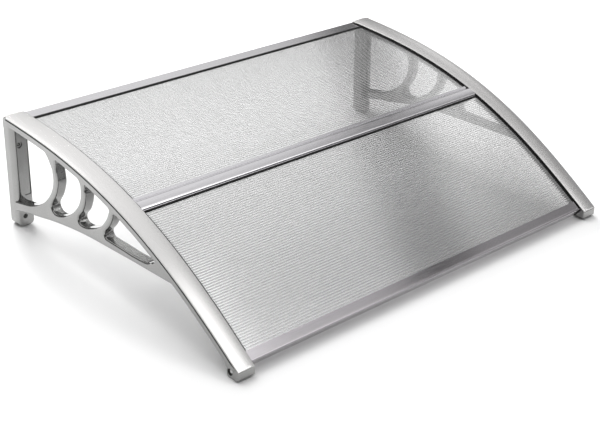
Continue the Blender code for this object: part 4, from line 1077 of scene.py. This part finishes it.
def clear_sheet(name, alpha, metallic, base, roughness, grazing=1.0):
    """Clear polycarbonate: see-through, and less so at flat angles where grazing is over 1."""
    result, tree, shader = new_material(name)
    haze = noise(tree, (0.6, 1, 1), 5.0)
    tint = ramp(tree, haze, greys((0.3, base), (0.7, base + 0.04)))
    tree.links.new(tint, shader.inputs["Base Color"])
    veil = ramp(tree, haze, greys((0.3, alpha * grazing), (0.7, (alpha + 0.03) * grazing)))
    if grazing > 1:
        facing = node(tree, "ShaderNodeLayerWeight", values={"Blend": 0.5}).outputs["Facing"]
        gain = ramp(tree, facing, greys((0.25, 1.0 / grazing), (0.6, 1.0)))
        links = {0: veil, 1: gain}
        veil = node(tree, "ShaderNodeMath", links, operation="MULTIPLY").outputs[0]
    tree.links.new(veil, shader.inputs["Alpha"])
    shader.inputs["Metallic"].default_value = metallic
    shader.inputs["Roughness"].default_value = roughness
    shader.inputs["IOR"].default_value = 1.58
    return result


# One look for each slot of sheet(): faces, inner skins, webs and joint lines
SHEET_LOOKS = [
    clear_sheet("sheet_faces", 0.33, 0.95, 0.96, 0.08, 1.4),
    clear_sheet("sheet_inner", 0.05, 0.3, 0.7, 0.15),
    clear_sheet("sheet_webs", 0.22, 0.2, 0.3, 0.35),
    clear_sheet("sheet_joints", 0.5, 0.6, 0.5, 0.3),
]
FINISHES = {
    # Glossy silver-grey moulding with a faint uneven skin
    "bracket": finish(
        "moulded_grey", (EVEN, 7.0), [(0.35, (0.32, 0.32, 0.315)), (0.65, (0.36, 0.36, 0.355))],
        {"Metallic": 0.85}, greys((0.3, 0.05), (0.7, 0.1)), (0.05, 0.0002), (EVEN, 900.0),
    ),
    # Smooth satin silver with a faint drawn grain along the curve
    "cover": finish(
        "satin_cover", (ALONG_ROOF, 12.0), [(0.3, (0.74, 0.73, 0.725)), (0.7, (0.77, 0.76, 0.755))],
        {"Metallic": 0.9}, greys((0.25, 0.22), (0.75, 0.27)),
    ),
    "rail": drawn("drawn_rail", (0.60, 0.59, 0.61), (0.70, 0.69, 0.71), 0.12),
    # Dull black rubber with a fine grain
    "rubber": finish(
        "black_rubber", (EVEN, 1200.0, 3.0), greys((0.3, 0.004), (0.8, 0.012)),
        {"Roughness": 0.6, "Specular IOR Level": 0.25}, relief=(0.2, 0.0003),
    ),
    # Zinc-plated steel
    "screw": finish(
        "screw_steel", (EVEN, 500.0), greys((0.3, 0.5), (0.7, 0.7)),
        {"Metallic": 1.0, "Roughness": 0.22},
    ),
}
# Darker copy of the rail finish for the front rail alone: painted shade, so that its reflections
# read darker
FRONT_RAIL_SHADED_LOOK = drawn("drawn_front_rail_painted_shade", (0.45, 0.43, 0.45), (0.51, 0.49, 0.51), 0.08)


# Pieces that stand for nodes of the frame
def show(piece, slot, *nodes, looks=None):
    """Finish a piece: give it the looks of its slot, attach it to the root body and hide the nodes
    that it stands for.
    """
    for look in looks or [FINISHES[slot]]:
        piece.data.materials.append(look)
    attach(piece, "root")
    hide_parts(*nodes)


REAR_END = MIDDLE_AT - MIDDLE_WEB / 2 - SEAT_GAP
FRONT_START = MIDDLE_AT + MIDDLE_WEB / 2 + SEAT_GAP
FRONT_END = FRONT_BACK + FRONT_WALL - SEAT_GAP
show(sheet("rear_sheet", SHEET_START, REAR_END), "sheet", "sheet_rear", looks=SHEET_LOOKS)
show(sheet("front_sheet", FRONT_START, FRONT_END), "sheet", "sheet_front", looks=SHEET_LOOKS)
MIDDLE_FRONT_END = MIDDLE_AT + MIDDLE_FRONT_LIP + MIDDLE_GASKET_WIDTH
SEALS = {
    "rear": (REAR_LIP_LENGTH + GASKET_WIDTH + SEAT_GAP, MIDDLE_AT - MIDDLE_REAR_LIP - SEAT_GAP),
    "front": (MIDDLE_FRONT_END + SEAT_GAP, FRONT_LIP_START - SEAT_GAP),
}
for label, side in (("left", -1), ("right", 1)):
    show(settle(bracket(f"moulding_{label}", side)), "bracket", f"bracket_{label}")
    show(settle(cover(f"strip_{label}", side)), "cover", f"cover_{label}")
    show(seam_strip(f"seam_strip_{label}", side), "rubber", f"edge_strip_{label}")
    for at, (start, end) in SEALS.items():
        strip = side_seal(f"edge_seal_{label}_{at}", side, start, end)
        show(strip, "rubber", f"side_seal_{label}_{at}")


# Finish of the carried-over nodes
SLOTS = {part["node"]: part["material_slot"] for part in frame["record"]["subparts"]}
for name, piece in NODES.items():
    look = FINISHES.get(SLOTS[name], SHEET_LOOKS[FACE_SLOT])
    piece.data.materials.clear()
    # The front rail takes the darker copy of the rail finish, which is painted shade
    piece.data.materials.append(FRONT_RAIL_SHADED_LOOK if name == "rail_front" else look)
    shade(piece.data)
    piece.modifiers.new("weighted", "WEIGHTED_NORMAL").keep_sharp = True


# Floor: where the legs' feet stand, and its tilt, because the tips reach lower than the feet
FOOT = Vector((0.0, -0.012, -0.2595))
FLOOR_TILT = math.radians(4.87)
FLOOR_HALF = 12.0
FLOOR_COLOR = (0.95, 0.95, 0.95, 1.0)


def make_floor():
    """Wide pale plane that touches the feet and the tips."""
    mesh = bpy.data.meshes.new("floor")
    corners = [(FLOOR_HALF * x, FLOOR_HALF * y, 0) for x, y in ((-1, -1), (1, -1), (1, 1), (-1, 1))]
    mesh.from_pydata(corners, [], [(0, 1, 2, 3)])
    floor = add("floor", mesh, bpy.context.scene.collection)
    floor.matrix_world = Matrix.Translation(FOOT) @ Matrix.Rotation(FLOOR_TILT, 4, "X")
    result, _, shader = new_material("pale_floor")
    shader.inputs["Base Color"].default_value = FLOOR_COLOR
    shader.inputs["Roughness"].default_value = 0.6
    mesh.materials.append(result)


make_floor()


# Studio light
def area(name, location, target, size, power):
    """Rectangular light that faces a point and shows in no glossy surface."""
    data = bpy.data.lights.new(name, "AREA")
    data.shape = "RECTANGLE"
    data.size, data.size_y = size
    data.energy = power
    light = add(name, data, bpy.context.scene.collection)
    light.location = location
    aim = Vector(target) - Vector(location)
    light.rotation_mode = "QUATERNION"
    light.rotation_quaternion = aim.to_track_quat("-Z", "Y")
    light.visible_glossy = False


def make_world():
    """Studio that the canopy reflects: pale above and to the left, darker below and right."""
    world = bpy.data.worlds.new("studio")
    bpy.context.scene.world = world
    world.use_nodes = True
    tree = world.node_tree
    back = tree.nodes["Background"]
    place = node(tree, "ShaderNodeTexCoord")
    axes = node(tree, "ShaderNodeSeparateXYZ", {"Vector": place.outputs["Generated"]})
    x, y, z = (axes.outputs[name] for name in "XYZ")

    def tones(source, *stops):
        """Grey ramp over one coordinate between -1 and 1."""
        values = {1: 0.5, 2: 0.5}
        share = node(tree, "ShaderNodeMath", {0: source}, values, operation="MULTIPLY_ADD")
        return ramp(tree, share.outputs[0], greys(*(((at + 1) / 2, tone) for at, tone in stops)))

    def blend(kind, first, second, factor=None):
        """Mix of two colours, by a factor where one is given."""
        links = {6: first, 7: second} if factor is None else {6: first, 7: second, 0: factor}
        settings = {"data_type": "RGBA", "blend_type": kind}
        return node(tree, "ShaderNodeMix", links, {0: 1.0}, **settings).outputs[2]

    def times(first, *others):
        """Product of colours."""
        for other in others:
            first = blend("MULTIPLY", first, other)
        return first

    # Dark streak that shows in both sheets, and the darker right-hand side
    skewed = node(tree, "ShaderNodeMath", {0: y, 2: x}, {1: -0.1}, operation="MULTIPLY_ADD")
    streaks = tones(
        x, (-1, 0.9), (0.57, 0.95), (0.63, 0.86), (0.660, 0.76), (0.672, 0.03), (0.696, 0.06),
        (0.708, 0.95), (1, 0.95),
    )
    right = tones(
        skewed.outputs[0], (0.722, 1), (0.735, 0.75), (0.75, 0.5), (0.8, 0.35), (1, 0.35)
    )
    depth = tones(y, (-1, 0.25), (-0.62, 0.25), (-0.5, 0.85), (0.05, 0.82), (0.35, 1), (1, 1))
    # Bright panels: in front, high at the back, and in front further to the right
    shine = times(
        tones(x, (0.3, 0), (0.38, 1), (0.555, 1), (0.575, 0)),
        tones(y, (-0.6, 0), (-0.45, 0.8), (-0.16, 0.8), (-0.06, 0)),
    )
    glow = times(
        tones(x, (-0.2, 0), (-0.1, 1), (0.3, 1), (0.4, 0)),
        times(
            tones(y, (0.35, 0), (0.5, 1), (0.8, 1), (0.9, 0)),
            tones(z, (0.58, 0), (0.66, 1.6), (0.85, 1.6), (0.92, 0)),
        ),
    )
    glint = times(
        tones(x, (0.3, 0), (0.4, 1), (1, 1)),
        tones(y, (-0.8, 0), (-0.7, 1.3), (-0.42, 1.3), (-0.35, 0)),
    )
    # Dark below, up to a lower height on the right than on the left
    rise = tones(z, (0, 0.12), (0.3, 0.16), (0.45, 0.95), (1, 1))
    dim = tones(z, (0, 0.06), (0.58, 0.1), (0.68, 1), (1, 1))
    low = blend("MIX", dim, rise, tones(x, (-0.3, 0), (-0.1, 1)))
    total = times(streaks, right, depth)
    for panel in (shine, glow, glint):
        total = blend("ADD", total, panel)
    tree.links.new(times(total, low), back.inputs["Color"])
    back.inputs["Strength"].default_value = 1.12


make_world()
area("overhead", (-0.4, 0.6, 3.0), (0, -0.4, -0.2), (2.4, 2.4), 52.0)
area("rear_key", (0.9, 3.3, 1.75), (0, -0.5, -0.2), (2.4, 1.2), 185.0)


# Camera at the photograph's viewing angle, in degrees and mm, as fitted to its 600 by 422 pixels
CAMERA_ANGLES = (-43.254, 24.552, 0.405)
CAMERA_OFFSETS = (-249.93, -387.19, 3514.95)
CAMERA_AIM_HEIGHT = 14.8 * MM
FOCAL_PIXELS = 1360.06
PHOTO_PIXELS = 600
SENSOR_WIDTH = 36.0


def make_camera():
    """Camera fitted to the photograph."""
    azimuth, elevation, roll = (math.radians(angle) for angle in CAMERA_ANGLES)
    offset_x, offset_y, distance = (offset * MM for offset in CAMERA_OFFSETS)
    level = math.cos(elevation)
    back = Vector((math.sin(azimuth) * level, -math.cos(azimuth) * level, math.sin(elevation)))
    ahead = -back
    right = ahead.cross(Vector((0, 0, 1))).normalized()
    up = right.cross(ahead)
    turned = math.cos(roll) * right + math.sin(roll) * up
    upright = -math.sin(roll) * right + math.cos(roll) * up
    place = -offset_x * turned + offset_y * upright - distance * ahead
    data = bpy.data.cameras.new("camera")
    data.sensor_fit = "HORIZONTAL"
    data.sensor_width = SENSOR_WIDTH
    data.lens = FOCAL_PIXELS / PHOTO_PIXELS * SENSOR_WIDTH
    camera = add("camera", data, bpy.context.scene.collection)
    axes = Matrix((turned, upright, back)).transposed().to_4x4()
    aim = Vector((0, 0, CAMERA_AIM_HEIGHT))
    camera.matrix_world = Matrix.Translation(place + aim) @ axes
    data.clip_end = 100.0
    bpy.context.scene.camera = camera


make_camera()
bpy.context.scene.view_settings.view_transform = "Standard"

bpy.context.view_layer.update()
